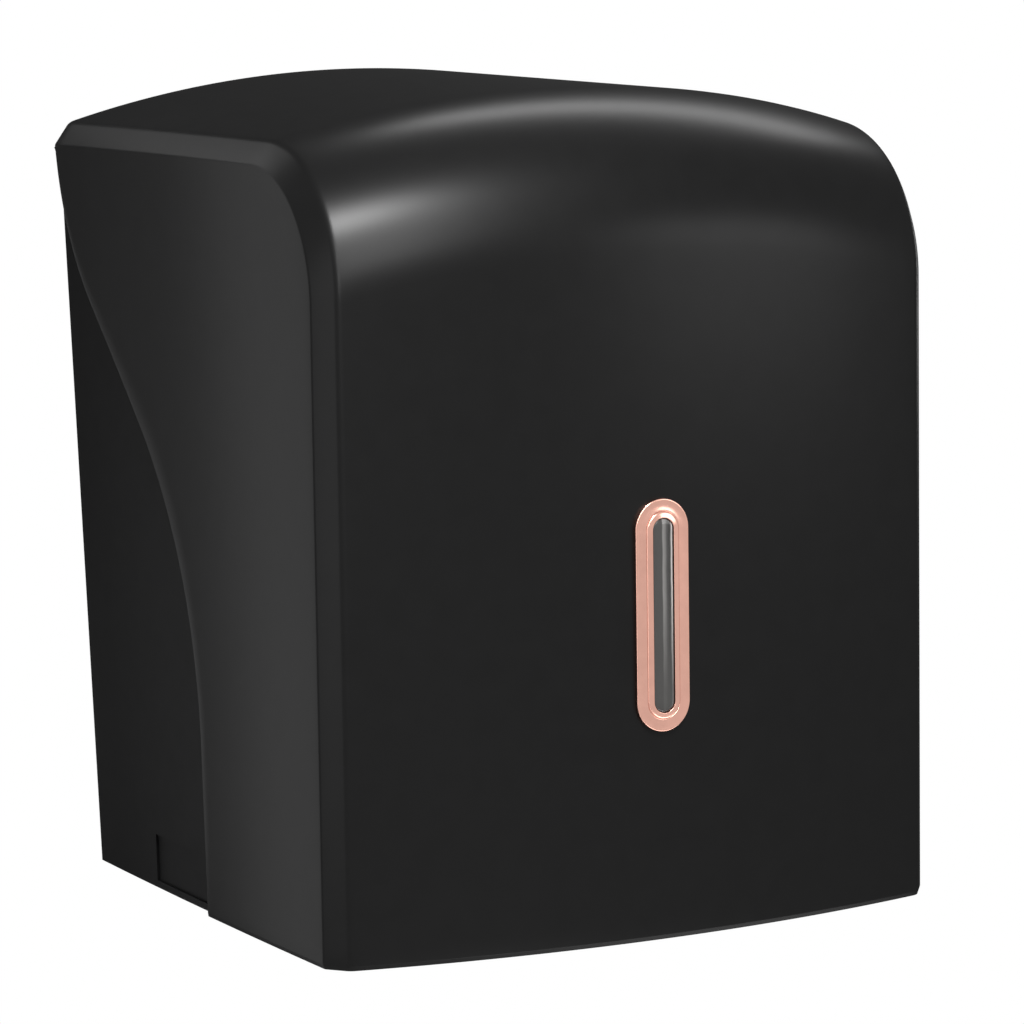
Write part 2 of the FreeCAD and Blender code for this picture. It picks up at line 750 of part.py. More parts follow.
tie_places = [(lever_y + back, z) for back, z in zip(tie_behind_lever, tie_heights)]

# the idler stands above the line from the lever's shaft to the feed roller, at the
# meshing distance from both
pinion_mesh = gear_module * (sector_teeth + pinion_teeth) / 2.0
wheel_mesh = gear_module * (wheel_teeth + clutch_teeth) / 2.0
feed_gap = math.hypot(feed_y - lever_y, feed_z - lever_z)
idler_along = (pinion_mesh ** 2 - wheel_mesh ** 2 + feed_gap ** 2) / (2.0 * feed_gap)
idler_above = math.sqrt(pinion_mesh ** 2 - idler_along ** 2)
idler_y = lever_y + (idler_along * (feed_y - lever_y) + idler_above * (feed_z - lever_z)) / feed_gap
idler_z = lever_z + (idler_along * (feed_z - lever_z) - idler_above * (feed_y - lever_y)) / feed_gap


def build_frame(side):
    outline = [(frame_rear, foot_low), (frame_rear, frame_top), (-frame_front + frame_corner, frame_top)]
    outline = outline + [(-frame_front, frame_top - frame_corner), (-frame_front, frame_low + frame_corner)]
    outline = outline + [(-frame_front + frame_corner, frame_low), (-frame_heel - frame_heel_run, frame_low)]
    outline = outline + [(-frame_heel, foot_low)]
    plate = plate_x(outline, frame_in, frame_out)
    foot = block(frame_in, frame_out + foot_width, frame_rear - foot_thick, frame_rear, foot_low, frame_top)
    body = join([plate, foot])
    holes = [rod_x(bush_r, 0.0, through, feed_y, feed_z), rod_x(lever_bush_r, 0.0, through, lever_y, lever_z)]
    holes.append(rod_x(carriage_pin_r, 0.0, through, carriage_y, carriage_z))
    for y, z in tie_places:
        holes.append(rod_x(tie_screw_r, 0.0, through, y, z))
    for z in foot_screw_z:
        holes.append(rod_y(screw_shank_r, -through, 0.0, foot_screw_x, z))
    if side > 0:
        holes.append(rod_x(stud_r, 0.0, through, idler_y, idler_z))
    holes.append(rod_x(frame_hole_r, 0.0, through, -frame_hole_depth, (foot_low + frame_top) / 2.0))
    body = cut(body, holes)
    return body if side > 0 else mirrored(body)


def build_frame_screws():
    screws = []
    top = frame_rear - foot_thick
    for x in [-foot_screw_x, foot_screw_x]:
        for z in foot_screw_z:
            head = rod_y(screw_head_r, top - screw_head, top, x, z)
            slot = block(x - screw_head_r, x + screw_head_r, top - screw_head, top - screw_head + 0.8,
                         z - 0.5, z + 0.5)
            shank = rod_y(screw_shank_r, top, -1.0, x, z)
            screws.append(join([head, shank]).cut(slot))
    return screws


def build_ties():
    rods = []
    screws = []
    for y, z in tie_places:
        rod = rod_x(tie_r, -frame_in, frame_in, y, z)
        for side in [-1.0, 1.0]:
            deep = side * (frame_in - tie_screw_deep)
            face = side * frame_in
            rod = rod.cut(rod_x(tie_screw_r, min(deep, face), max(deep, face), y, z))
            head_in = side * frame_out
            head_out = side * (frame_out + tie_screw_head)
            head = rod_x(tie_r, min(head_in, head_out), max(head_in, head_out), y, z)
            shank = rod_x(tie_screw_r, min(deep, head_in), max(deep, head_in), y, z)
            screws.append(join([head, shank]))
        rods.append(rod)
    return rods, screws


# ---- chute and blade ------------------------------------------------------
def from_point(y, z, step):
    return (y + step[0], z + step[1])


def build_chute():
    chute_top = from_point(feed_y, feed_z, chute_top_from_feed)
    chute_foot = from_point(feed_y, feed_z, chute_foot_from_feed)
    along = V(0, chute_foot[0] - chute_top[0], chute_foot[1] - chute_top[1])
    along.normalize()
    across = V(0, -along.z, along.y) * chute_wall
    corners = [chute_top, chute_foot]
    corners.append((chute_foot[0] + across.y, chute_foot[1] + across.z))
    corners.append((chute_top[0] + across.y, chute_top[1] + across.z))
    body = [plate_x(corners, -frame_in, frame_in)]
    for y, z in [chute_top, chute_foot]:
        body.append(rod_x(chute_bead_r, -frame_in, frame_in, y + across.y / 2.0, z + across.z / 2.0))
    return join(body)


def build_blade():
    wall = block(-frame_in, frame_in, -carrier_rear - carrier_wall, -carrier_rear, carrier_low, carrier_top)
    flange = block(-frame_in, frame_in, -carrier_rear - carrier_wall - carrier_flange, -carrier_rear,
                   carrier_top - carrier_wall, carrier_top)
    carrier = join([wall, flange])
    face = -carrier_rear - carrier_wall
    pitch = 2.0 * blade_half / blade_teeth
    corners = [V(-blade_half, face, blade_top), V(-blade_half, face, blade_root)]
    for step in range(blade_teeth):
        x = -blade_half + pitch * step
        corners.append(V(x + pitch / 2.0, face, blade_tip))
        corners.append(V(x + pitch, face, blade_root))
    corners.append(V(blade_half, face, blade_top))
    strip = Part.Face(Part.makePolygon(corners + [corners[0]])).extrude(V(0, -blade_thick, 0))
    holes = []
    screws = []
    middle = (blade_top + carrier_low) / 2.0 + 1.0
    for x in blade_screw_x:
        holes.append(rod_y(blade_screw_r, -front_depth, -carrier_rear + 5.0, x, middle))
        head = rod_y(blade_screw_head_r, face - blade_thick - blade_screw_head, face - blade_thick, x, middle)
        shank = rod_y(blade_screw_r, face - blade_thick, -carrier_rear, x, middle)
        screws.append(join([head, shank]))
    return cut(carrier, holes), cut(strip, holes), screws


# ---- gears ----------------------------------------------------------------
def tooth_points(teeth, middle, centre):
    """one tooth's outline, from its root on one side to its root on the other"""
    angle = math.radians(pressure_angle)
    pitch_r = gear_module * teeth / 2.0
    base_r = pitch_r * math.cos(angle)
    root_r = pitch_r - dedendum
    tip_r = pitch_r + addendum
    half = (math.pi * gear_module / 2.0 - backlash) / 2.0 / pitch_r
    involute = math.tan(angle) - angle
    start_r = max(base_r, root_r)
    radii = [start_r, (start_r + tip_r) / 2.0, tip_r]
    if root_r < base_r:
        radii = [root_r] + radii
    flank = []
    for r in radii:
        roll = math.acos(min(1.0, base_r / max(r, base_r)))
        flank.append((r, half + involute - (math.tan(roll) - roll)))
    points = []
    for r, turn in flank:
        points.append((r, middle - turn))
    for r, turn in reversed(flank):
        points.append((r, middle + turn))
    return [(centre[0] + r * math.cos(a), centre[1] + r * math.sin(a)) for r, a in points]


def spur(teeth, phase, centre, x0, x1):
    points = []
    for step in range(teeth):
        points = points + tooth_points(teeth, phase + 2.0 * math.pi * step / teeth, centre)
    return plate_x(points, x0, x1)


lever_at = (lever_y, lever_z)
idler_at = (idler_y, idler_z)
feed_at = (feed_y, feed_z)
to_idler = math.atan2(idler_z - lever_z, idler_y - lever_y)
to_feed = math.atan2(feed_z - idler_z, feed_y - idler_y)


def build_sector():
    step = 2.0 * math.pi / sector_teeth
    swing = math.radians(lever_swing)
    first = -int(math.ceil(swing / step)) - 2
    points = []
    for k in range(first, 3):
        points = points + tooth_points(sector_teeth, to_idler + k * step, lever_at)
    low = to_idler + first * step
    high = to_idler + 2 * step
    wide = lever_hub_r
    points.append((lever_y + wide * math.cos(high + 1.2), lever_z + wide * math.sin(high + 1.2)))
    points.append((lever_y + wide * math.cos(low - 1.2), lever_z + wide * math.sin(low - 1.2)))
    sector = plate_x(points, sector_x, sector_x + sector_wide)
    hub = rod_x(lever_hub_r, frame_out + clip_gap, sector_x + sector_wide + hub_past, lever_y, lever_z)
    middle = (low + high) / 2.0
    hole = rod_x(sector_hole_r, sector_x - 1.0, sector_x + sector_wide + 1.0,
                 lever_y + sector_hole_at * math.cos(middle), lever_z + sector_hole_at * math.sin(middle))
    body = join([sector, hub]).cut(hole)
    return body.cut(rod_x(lever_r, 0.0, through, lever_y, lever_z))


def build_idler():
    pinion = spur(pinion_teeth, to_idler + math.pi + math.pi / pinion_teeth, idler_at,
                  sector_x - pinion_low, wheel_x)
    wheel = spur(wheel_teeth, to_feed, idler_at, wheel_x, wheel_x + wheel_wide)
    hub = rod_x(wheel_hub_r, wheel_x, wheel_x + wheel_wide + hub_past, idler_y, idler_z)
    body = join([pinion, wheel, hub])
    tools = [rod_x(stud_r + run_gap, 0.0, through, idler_y, idler_z)]
    for step in range(wheel_holes):
        turn = 2.0 * math.pi * step / wheel_holes
        tools.append(rod_x(wheel_hole_r, wheel_x - 1.0, wheel_x + wheel_wide + 1.0,
                           idler_y + wheel_hole_at * math.cos(turn), idler_z + wheel_hole_at * math.sin(turn)))
    return cut(body, tools)


def build_stud():
    pin = rod_x(stud_r, frame_in, wheel_x + wheel_wide + stud_end, idler_y, idler_z)
    collar = rod_x(stud_r + stud_collar, frame_out, sector_x - 2.0 * pinion_low, idler_y, idler_z)
    clip_x = wheel_x + wheel_wide + hub_past + clip_gap
    clip = rod_x(clip_r, clip_x, clip_x + e_clip, idler_y, idler_z)
    clip = clip.cut(rod_x(stud_r, clip_x - 1.0, clip_x + e_clip + 1.0, idler_y, idler_z))
    return join([pin, collar]), clip


def build_clutch():
    gear = spur(clutch_teeth, to_feed + math.pi + math.pi / clutch_teeth, feed_at, wheel_x, wheel_x + wheel_wide)
    x0 = frame_out + clutch_side_gap
    x1 = wheel_x + wheel_wide + clutch_end
    hub = rod_x(clutch_hub_r, x0, x1, feed_y, feed_z)
    body = join([gear, hub]).cut(rod_x(clutch_r, 0.0, through, feed_y, feed_z))
    ring = rod_x(clutch_r, x0, x1, feed_y, feed_z)
    ring = ring.cut(rod_x(axle_r + run_gap, 0.0, through, feed_y, feed_z))
    return body, ring


# ---- feed roller ----------------------------------------------------------
def build_feed():
    clip_x = wheel_x + wheel_wide + clutch_end + clip_gap
    axle = rod_x(axle_r, -knob_end, clip_x + e_clip + 1.0, feed_y, feed_z)
    core = rod_x(core_r, -core_half, core_half, feed_y, feed_z)
    core = core.cut(rod_x(axle_r, -through, through, feed_y, feed_z))
    sleeves = []
    for x in drum_middles:
        sleeve = rod_x(drum_r, x - drum_length / 2.0, x + drum_length / 2.0, feed_y, feed_z)
        sleeve = sleeve.cut(rod_x(core_r, -through, through, feed_y, feed_z))
        sleeves.append(sleeve)
    clip = rod_x(clip_r, clip_x, clip_x + e_clip, feed_y, feed_z)
    clip = clip.cut(rod_x(axle_r, 0.0, through, feed_y, feed_z))
    knob = rod_x(knob_r, -knob_end, -knob_end + knob_length, feed_y, feed_z)
    flutes = []
    for step in range(knob_flutes):
        turn = 2.0 * math.pi * step / knob_flutes
        flutes.append(rod_x(knob_flute_r, -knob_end - 1.0, -knob_end + knob_length + 1.0,
                            feed_y + knob_r * math.cos(turn), feed_z + knob_r * math.sin(turn)))
    knob = cut(knob, flutes)
    hub = rod_x(clutch_hub_r, -knob_end + knob_length, -frame_out - clutch_side_gap, feed_y, feed_z)
    knob = join([knob, hub]).cut(rod_x(axle_r, -through, 0.0, feed_y, feed_z))
    return axle, core, sleeves, clip, knob


def bush(r_out, r_flange, r_in, y, z):
    sleeve = rod_x(r_out, frame_in, frame_out, y, z)
    flange = rod_x(r_flange, frame_in - bush_flange, frame_in, y, z)
    body = join([sleeve, flange]).cut(rod_x(r_in, 0.0, through, y, z))
    return [body, mirrored(body)]


# ---- pressure roller ------------------------------------------------------
def build_pressure():
    arm_out = carriage_arm_in + carriage_arm
    axle = rod_x(press_axle_r, -arm_out - press_axle_end, arm_out + press_axle_end, press_y, press_z)
    rollers = []
    for x in drum_middles:
        roller = rod_x(press_r, x - drum_length / 2.0, x + drum_length / 2.0, press_y, press_z)
        rollers.append(roller.cut(rod_x(press_axle_r, -through, through, press_y, press_z)))
    eye = rod_x(carriage_eye_r, carriage_arm_in, arm_out, carriage_y, carriage_z)
    foot = rod_x(carriage_eye_r, carriage_arm_in, arm_out, press_y, press_z)
    web = plate_x([(carriage_y - carriage_eye_r, carriage_z), (carriage_y + carriage_eye_r, carriage_z),
                   (press_y + carriage_eye_r, press_z), (press_y - carriage_eye_r, press_z)],
                  carriage_arm_in, arm_out)
    bar_y = carriage_y - carriage_eye_r - bar_depth / 2.0
    bar = block(-arm_out, arm_out, bar_y, bar_y + bar_depth, carriage_z - bar_height / 2.0,
                carriage_z + bar_height / 2.0)
    arm = join([eye, foot, web])
    body = join([arm, mirrored(arm), bar])
    body = cut(body, [rod_x(press_axle_r + run_gap, -through, through, press_y, press_z),
                      rod_x(carriage_pin_r + run_gap, -through, through, carriage_y, carriage_z)])
    pin = rod_x(carriage_pin_r, carriage_arm_in - 1.0, frame_out, carriage_y, carriage_z)
    head = rod_x(pin_head_r, frame_out, frame_out + pin_head, carriage_y, carriage_z)
    pin = join([pin, head])
    return body, [pin, mirrored(pin)], axle, rollers


# ---- lever ----------------------------------------------------------------
def build_lever():
    paddle_top = from_point(lever_y, lever_z, paddle_top_from_shaft)
    paddle_mid = from_point(lever_y, lever_z, paddle_mid_from_shaft)
    paddle_foot = from_point(lever_y, lever_z, paddle_foot_from_shaft)
    shaft = rod_x(lever_r, -lever_end, sector_x + sector_wide + hub_past, lever_y, lever_z)
    top = V(-paddle_half, paddle_top[0], paddle_top[1])
    mid = V(-paddle_half, paddle_mid[0], paddle_mid[1])
    foot = V(-paddle_half, paddle_foot[0], paddle_foot[1])
    shift = V(0, paddle_wall, 0)
    edges = [Part.Arc(top, mid, foot).toShape(), Part.makeLine(foot, foot + shift)]
    edges = edges + [Part.Arc(foot + shift, mid + shift, top + shift).toShape()]
    edges = edges + [Part.makeLine(top + shift, top)]
    plate = Part.Face(Part.Wire(edges)).extrude(V(2.0 * paddle_half, 0, 0))
    bead = rod_x(paddle_edge_r, -paddle_half, paddle_half, foot.y + paddle_wall / 2.0, foot.z)
    arms = []
    for side in [-1.0, 1.0]:
        near = side * paddle_arm_in
        far = side * (paddle_arm_in + paddle_arm)
        x0 = min(near, far)
        x1 = max(near, far)
        outline = [(lever_y - 4.0, lever_z + lever_hub_r - 1.0), (paddle_top[0] + 1.5, paddle_top[1] + 0.5)]
        outline = outline + [(paddle_mid[0] + 2.5, paddle_mid[1] - 3.0), (lever_y + 5.0, lever_z - lever_hub_r + 1.5)]
        arms.append(plate_x(outline, x0, x1))
        arms.append(rod_x(lever_hub_r, x0 - 2.0, x1 + 2.0, lever_y, lever_z))
    paddle = join([plate, bead] + arms).cut(rod_x(lever_r, -through, through, lever_y, lever_z))
    strip_top = V(-pad_half, paddle_top[0], paddle_top[1])
    strip_mid = V(-pad_half, paddle_mid[0], paddle_mid[1])
    strip_foot = V(-pad_half, paddle_foot[0], paddle_foot[1])
    out = V(0, -pad_thick, 0)
    edges = [Part.Arc(strip_top, strip_mid, strip_foot).toShape()]
    edges = edges + [Part.makeLine(strip_foot, strip_foot + out)]
    edges = edges + [Part.Arc(strip_foot + out, strip_mid + out, strip_top + out).toShape()]
    edges = edges + [Part.makeLine(strip_top + out, strip_top)]
    pad = Part.Face(Part.Wire(edges)).extrude(V(2.0 * pad_half, 0, 0))
    middle = (paddle_top[1] + paddle_foot[1]) / 2.0
    pad = pad.common(block(-pad_half, pad_half, -front_depth, 0.0, middle - pad_height / 2.0,
                           middle + pad_height / 2.0))
    clip_x = -frame_out - clip_gap
    clip = rod_x(lever_hub_r, clip_x - e_clip, clip_x, lever_y, lever_z)
    clip = clip.cut(rod_x(lever_r, -through, 0.0, lever_y, lever_z))
    return shaft, paddle, pad, clip


# ---- springs --------------------------------------------------------------
def coil(wire_r, coil_r, turns):
    """a close-wound coil about +Z, with its first turn's middle at the origin's height"""
    pitch = coil_pitch * wire_r
    dip = math.sqrt(wire_r ** 2 - (pitch / 2.0) ** 2)
    last = pitch * (turns - 1)
    edges = []
    for side in [1.0, -1.0]:
        for turn in range(turns):
            middle = pitch * turn
            low = V(coil_r + side * dip, 0, middle - pitch / 2.0)
            high = V(coil_r + side * dip, 0, middle + pitch / 2.0)
            if turn == 0:
                low = V(coil_r, 0, -wire_r)
            if turn == turns - 1:
                high = V(coil_r, 0, last + wire_r)
            edges.append(Part.Arc(low, V(coil_r + side * wire_r, 0, middle), high).toShape())
    face = Part.Face(Part.Wire(Part.__sortEdges__(edges)))
    return face.revolve(V(0, 0, 0), V(0, 0, 1), 360.0)


def coil_length(wire_r, turns):
    return coil_pitch * wire_r * (turns - 1)


def leg(wire_r, start, end):
    line = end - start
    return Part.makeCylinder(wire_r - leg_relief, line.Length, start, line)


def build_lever_spring():
    body = coil(lever_wire_r, lever_coil_r, lever_coils)
    length = coil_length(lever_wire_r, lever_coils)
    outer = leg(lever_wire_r, V(lever_coil_r, 0, 0), V(lever_coil_r, -lever_leg_front, 0))
    inner = leg(lever_wire_r, V(lever_coil_r, 0, length), V(lever_coil_r, lever_leg_rear, length))
    spring = join([body, outer, inner])
    spring.rotate(V(0, 0, 0), V(0, 1, 0), -90.0)
    spring.translate(V(-paddle_arm_in - paddle_arm - lever_coil_gap, lever_y, lever_z))
    return spring


def build_carriage_springs():
    body = coil(small_wire_r, small_coil_r, small_coils)
    length = coil_length(small_wire_r, small_coils)
    lower = leg(small_wire_r, V(small_coil_r, 0, 0), V(small_coil_r, -small_leg_front, 0))
    upper = leg(small_wire_r, V(small_coil_r, 0, length), V(small_coil_r, small_leg_rear, length))
    spring = join([body, lower, upper])
    spring.rotate(V(0, 0, 0), V(0, 1, 0), 90.0)
    start = carriage_arm_in + carriage_arm + small_wire_r + small_coil_gap
    spring.translate(V(start, carriage_y, carriage_z))
    return [spring, mirrored(spring)]


# ---- roll holder ----------------------------------------------------------
def build_brackets():
    brackets = []
    pins = []
    screws = []
    plate_front = -base_wall - bracket_plate
    for side in [-1.0, 1.0]:
        x = side * arm_x
        near = side * (arm_x - arm_knuckle_r - bracket_half)
        far = side * (arm_x + arm_knuckle_r)
        plate = block(min(near, far), max(near, far), plate_front, -base_wall,
                      roll_z - ear_half - ear_thick, roll_z + ear_half + ear_thick)
        body = [plate]
        for top in [roll_z + ear_half, roll_z - ear_half - ear_thick]:
            body.append(block(x - arm_knuckle_r, x + arm_knuckle_r, arm_pin_y, plate_front, top, top + ear_thick))
            body.append(rod_z(arm_knuckle_r, top, top + ear_thick, x, arm_pin_y))
        tools = [rod_z(arm_pin_r, 0.0, through, x, arm_pin_y)]
        for z in bracket_screw_z():
            tools.append(rod_y(screw_shank_r, -through, 0.0, side * bracket_screw_x(), z))
            head = rod_y(screw_head_r, plate_front - 2.0, plate_front, side * bracket_screw_x(), z)
            shank = rod_y(screw_shank_r, plate_front, -blind_floor, side * bracket_screw_x(), z)
            screws.append(join([head, shank]))
        brackets.append(cut(join(body), tools))
        low = roll_z - ear_half - ear_thick
        high = roll_z + ear_half + ear_thick
        pin = rod_z(arm_pin_r, low - 1.0, high, x, arm_pin_y)
        head = rod_z(arm_pin_r + 1.8, high, high + 1.6, x, arm_pin_y)
        pins.append(join([pin, head]))
    return brackets, pins, screws


def build_arm(side):
    inner = arm_x - arm_thick / 2.0
    outer = arm_x + arm_thick / 2.0
    half = arm_wide / 2.0
    low = roll_z - ear_half + ear_gap
    high = low + arm_knuckle
    outline = [(arm_pin_y - arm_knuckle_r + 1.0, low), (arm_pin_y - arm_knuckle_r + 1.0, high)]
    outline = outline + [(arm_pin_y - 20.0, roll_z + half), (roll_y, roll_z + arm_tip_r)]
    outline = outline + [(roll_y, roll_z - arm_tip_r), (arm_pin_y - 20.0, roll_z - half)]
    plate = plate_x(outline, inner, outer)
    tip = rod_x(arm_tip_r, inner, outer, roll_y, roll_z)
    knuckle = rod_z(arm_knuckle_r, low, high, arm_x, arm_pin_y)
    stub = rod_x(hub_shaft_r, roll_half - hub_length + 1.0, inner, roll_y, roll_z)
    body = join([plate, tip, knuckle, stub])
    body = cut(body, [rod_z(arm_pin_r + run_gap, 0.0, through, arm_x, arm_pin_y)])
    return body if side > 0 else mirrored(body)


def build_hub(side):
    flange = rod_x(hub_flange_r, roll_half, roll_half + hub_flange, roll_y, roll_z)
    cone = Part.makeCone(hub_small_r, hub_big_r, hub_length, V(roll_half - hub_length, roll_y, roll_z), V(1, 0, 0))
    boss = rod_x(hub_boss_r, roll_half, arm_x - arm_thick / 2.0 - hub_gap, roll_y, roll_z)
    body = join([flange, cone, boss])
    bore = rod_x(hub_shaft_r + run_gap, 0.0, through, roll_y, roll_z)
    mouth = rod_x(hub_shaft_r + 4.0, 0.0, roll_half - hub_length + 3.0, roll_y, roll_z)
    tools = [bore, mouth]
    for step in range(3):
        turn = math.radians(120.0 * step + 90.0)
        groove = rod_x(2.0, roll_half - hub_length - 1.0, roll_half - 1.0,
                       roll_y + hub_big_r * math.cos(turn), roll_z + hub_big_r * math.sin(turn))
        tools.append(groove)
    body = cut(body, tools)
    end = roll_half - hub_length + 1.0
    screw = rod_x(hub_shaft_r + 2.5, end - 1.5, end, roll_y, roll_z)
    if side > 0:
        return body, screw
    return mirrored(body), mirrored(screw)


def build_arm_spring(side):
    body = coil(arm_wire_r, arm_coil_r, arm_coils)
    length = coil_length(arm_wire_r, arm_coils)
    reach = -arm_pin_y - base_wall - bracket_plate
    fixed = leg(arm_wire_r, V(arm_coil_r, 0, 0), V(arm_coil_r, reach, 0))
    beside = arm_thick / 2.0 + arm_wire_r
    free = leg(arm_wire_r, V(arm_coil_r, 0, length), V(beside, -arm_leg, length))
    spring = join([body, fixed, free])
    low = roll_z - ear_half + ear_gap + arm_knuckle + arm_wire_r + arm_coil_gap
    spring.translate(V(arm_x, arm_pin_y, low))
    return spring if side > 0 else mirrored(spring)


# ---- write every piece ----------------------------------------------------
bezel, lens, bezel_clip = build_window()
keys, key_screws = build_keys()
lock_housing, lock_nut, lock_plug, lock_cam, cam_screw = build_lock()
keeper, keeper_screws = build_keeper()
tie_rods, tie_screws = build_ties()
carrier, blade, blade_screws = build_blade()
idler_stud, idler_clip = build_stud()
clutch_gear, oneway_clutch = build_clutch()
feed_axle, feed_core, feed_sleeves, axle_clip, feed_knob = build_feed()
carriage, carriage_pins, press_axle, press_rollers = build_pressure()
lever_shaft, lever_paddle, paddle_pad, lever_clip = build_lever()
brackets, arm_pins, bracket_screws = build_brackets()
hub_left, hub_screw_left = build_hub(-1)
hub_right, hub_screw_right = build_hub(1)

save("rear_housing", [build_housing()])
save("front_cover", [build_cover()])
save("window_bezel", [bezel])
save("window_lens", [lens])
save("bezel_clip", [bezel_clip])
save("hinge_keys", keys)
save("hinge_key_screws", key_screws)
save("lock_housing", [lock_housing])
save("lock_nut", [lock_nut])
save("lock_plug", [lock_plug])
save("lock_cam", [lock_cam])
save("cam_screw", [cam_screw])
save("lock_keeper", [keeper])
save("keeper_screws", keeper_screws)
save("side_frame_left", [build_frame(-1)])
save("side_frame_right", [build_frame(1)])
save("frame_screws", build_frame_screws())
save("tie_rods", tie_rods)
save("tie_screws", tie_screws)
save("paper_chute", [build_chute()])
save("blade_carrier", [carrier])
save("tear_blade", [blade])
save("blade_screws", blade_screws)
save("lever_shaft", [lever_shaft])
save("lever_paddle", [lever_paddle])
save("paddle_pad", [paddle_pad])
save("lever_bushings", bush(lever_bush_r, lever_bush_flange_r, lever_r + run_gap, lever_y, lever_z))
save("lever_clip", [lever_clip])
save("lever_spring", [build_lever_spring()])
save("sector_gear", [build_sector()])
save("idler_stud", [idler_stud])
save("idler_clip", [idler_clip])
save("idler_gear", [build_idler()])
save("clutch_gear", [clutch_gear])
save("oneway_clutch", [oneway_clutch])
save("feed_axle", [feed_axle])
save("feed_core", [feed_core])
save("feed_sleeves", feed_sleeves)
save("feed_bushings", bush(bush_r, bush_flange_r, axle_r + run_gap, feed_y, feed_z))
save("feed_knob", [feed_knob])
save("axle_clip", [axle_clip])
save("carriage_frame", [carriage])
save("carriage_pins", carriage_pins)
save("carriage_springs", build_carriage_springs())
save("pressure_axle", [press_axle])
save("pressure_rollers", press_rollers)
save("arm_brackets", brackets)
save("bracket_screws", bracket_screws)
save("arm_pins", arm_pins)
save("roll_arm_left", [build_arm(-1)])
save("roll_arm_right", [build_arm(1)])
save("arm_spring_left", [build_arm_spring(-1)])
save("arm_spring_right", [build_arm_spring(1)])
save("roll_hub_left", [hub_left])
save("roll_hub_right", [hub_right])
save("hub_screw_left", [hub_screw_left])
save("hub_screw_right", [hub_screw_right])
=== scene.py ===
import json
import math
import bpy
from mathutils import Matrix, Vector


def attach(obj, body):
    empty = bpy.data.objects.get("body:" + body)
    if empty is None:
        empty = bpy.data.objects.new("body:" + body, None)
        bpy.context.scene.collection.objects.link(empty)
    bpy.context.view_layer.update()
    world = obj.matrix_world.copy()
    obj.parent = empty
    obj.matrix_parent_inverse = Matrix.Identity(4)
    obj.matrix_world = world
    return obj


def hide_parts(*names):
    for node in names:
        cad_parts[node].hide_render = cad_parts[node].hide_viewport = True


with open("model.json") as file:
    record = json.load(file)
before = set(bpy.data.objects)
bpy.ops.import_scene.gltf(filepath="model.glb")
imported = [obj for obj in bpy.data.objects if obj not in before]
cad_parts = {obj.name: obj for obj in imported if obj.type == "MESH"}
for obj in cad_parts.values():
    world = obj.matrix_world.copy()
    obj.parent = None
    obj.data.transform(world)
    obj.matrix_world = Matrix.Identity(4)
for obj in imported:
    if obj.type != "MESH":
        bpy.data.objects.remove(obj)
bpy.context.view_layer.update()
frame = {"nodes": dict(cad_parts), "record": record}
scene = bpy.context.scene
scene.view_settings.view_transform = "Standard"


# ---- camera ---------------------------------------------------------------
CAMERA_RIGHT = Vector((0.8782019, -0.4780865, -0.0139546))
CAMERA_UP = Vector((0.0707275, 0.1009541, 0.9923739))
CAMERA_FORWARD = Vector((0.4730317, 0.8724916, -0.1224719))
CAMERA_PLACE = Vector((-0.908715, -1.827142, 0.188891))

camera_data = bpy.data.cameras.new("camera")
camera_data.lens = 149.955
camera_data.sensor_width = 36.0
camera_data.clip_start = 0.1
camera_data.clip_end = 60.0
camera = bpy.data.objects.new("camera", camera_data)
scene.collection.objects.link(camera)
turn = Matrix((CAMERA_RIGHT, CAMERA_UP, -CAMERA_FORWARD)).transposed()
camera.matrix_world = Matrix.Translation(CAMERA_PLACE) @ turn.to_4x4()
scene.camera = camera


# ---- node helpers ---------------------------------------------------------
NOISE_LOW = 0.3     # a noise value seldom leaves this range
NOISE_HIGH = 0.7
WHITE = (1.0, 1.0, 1.0, 1.0)


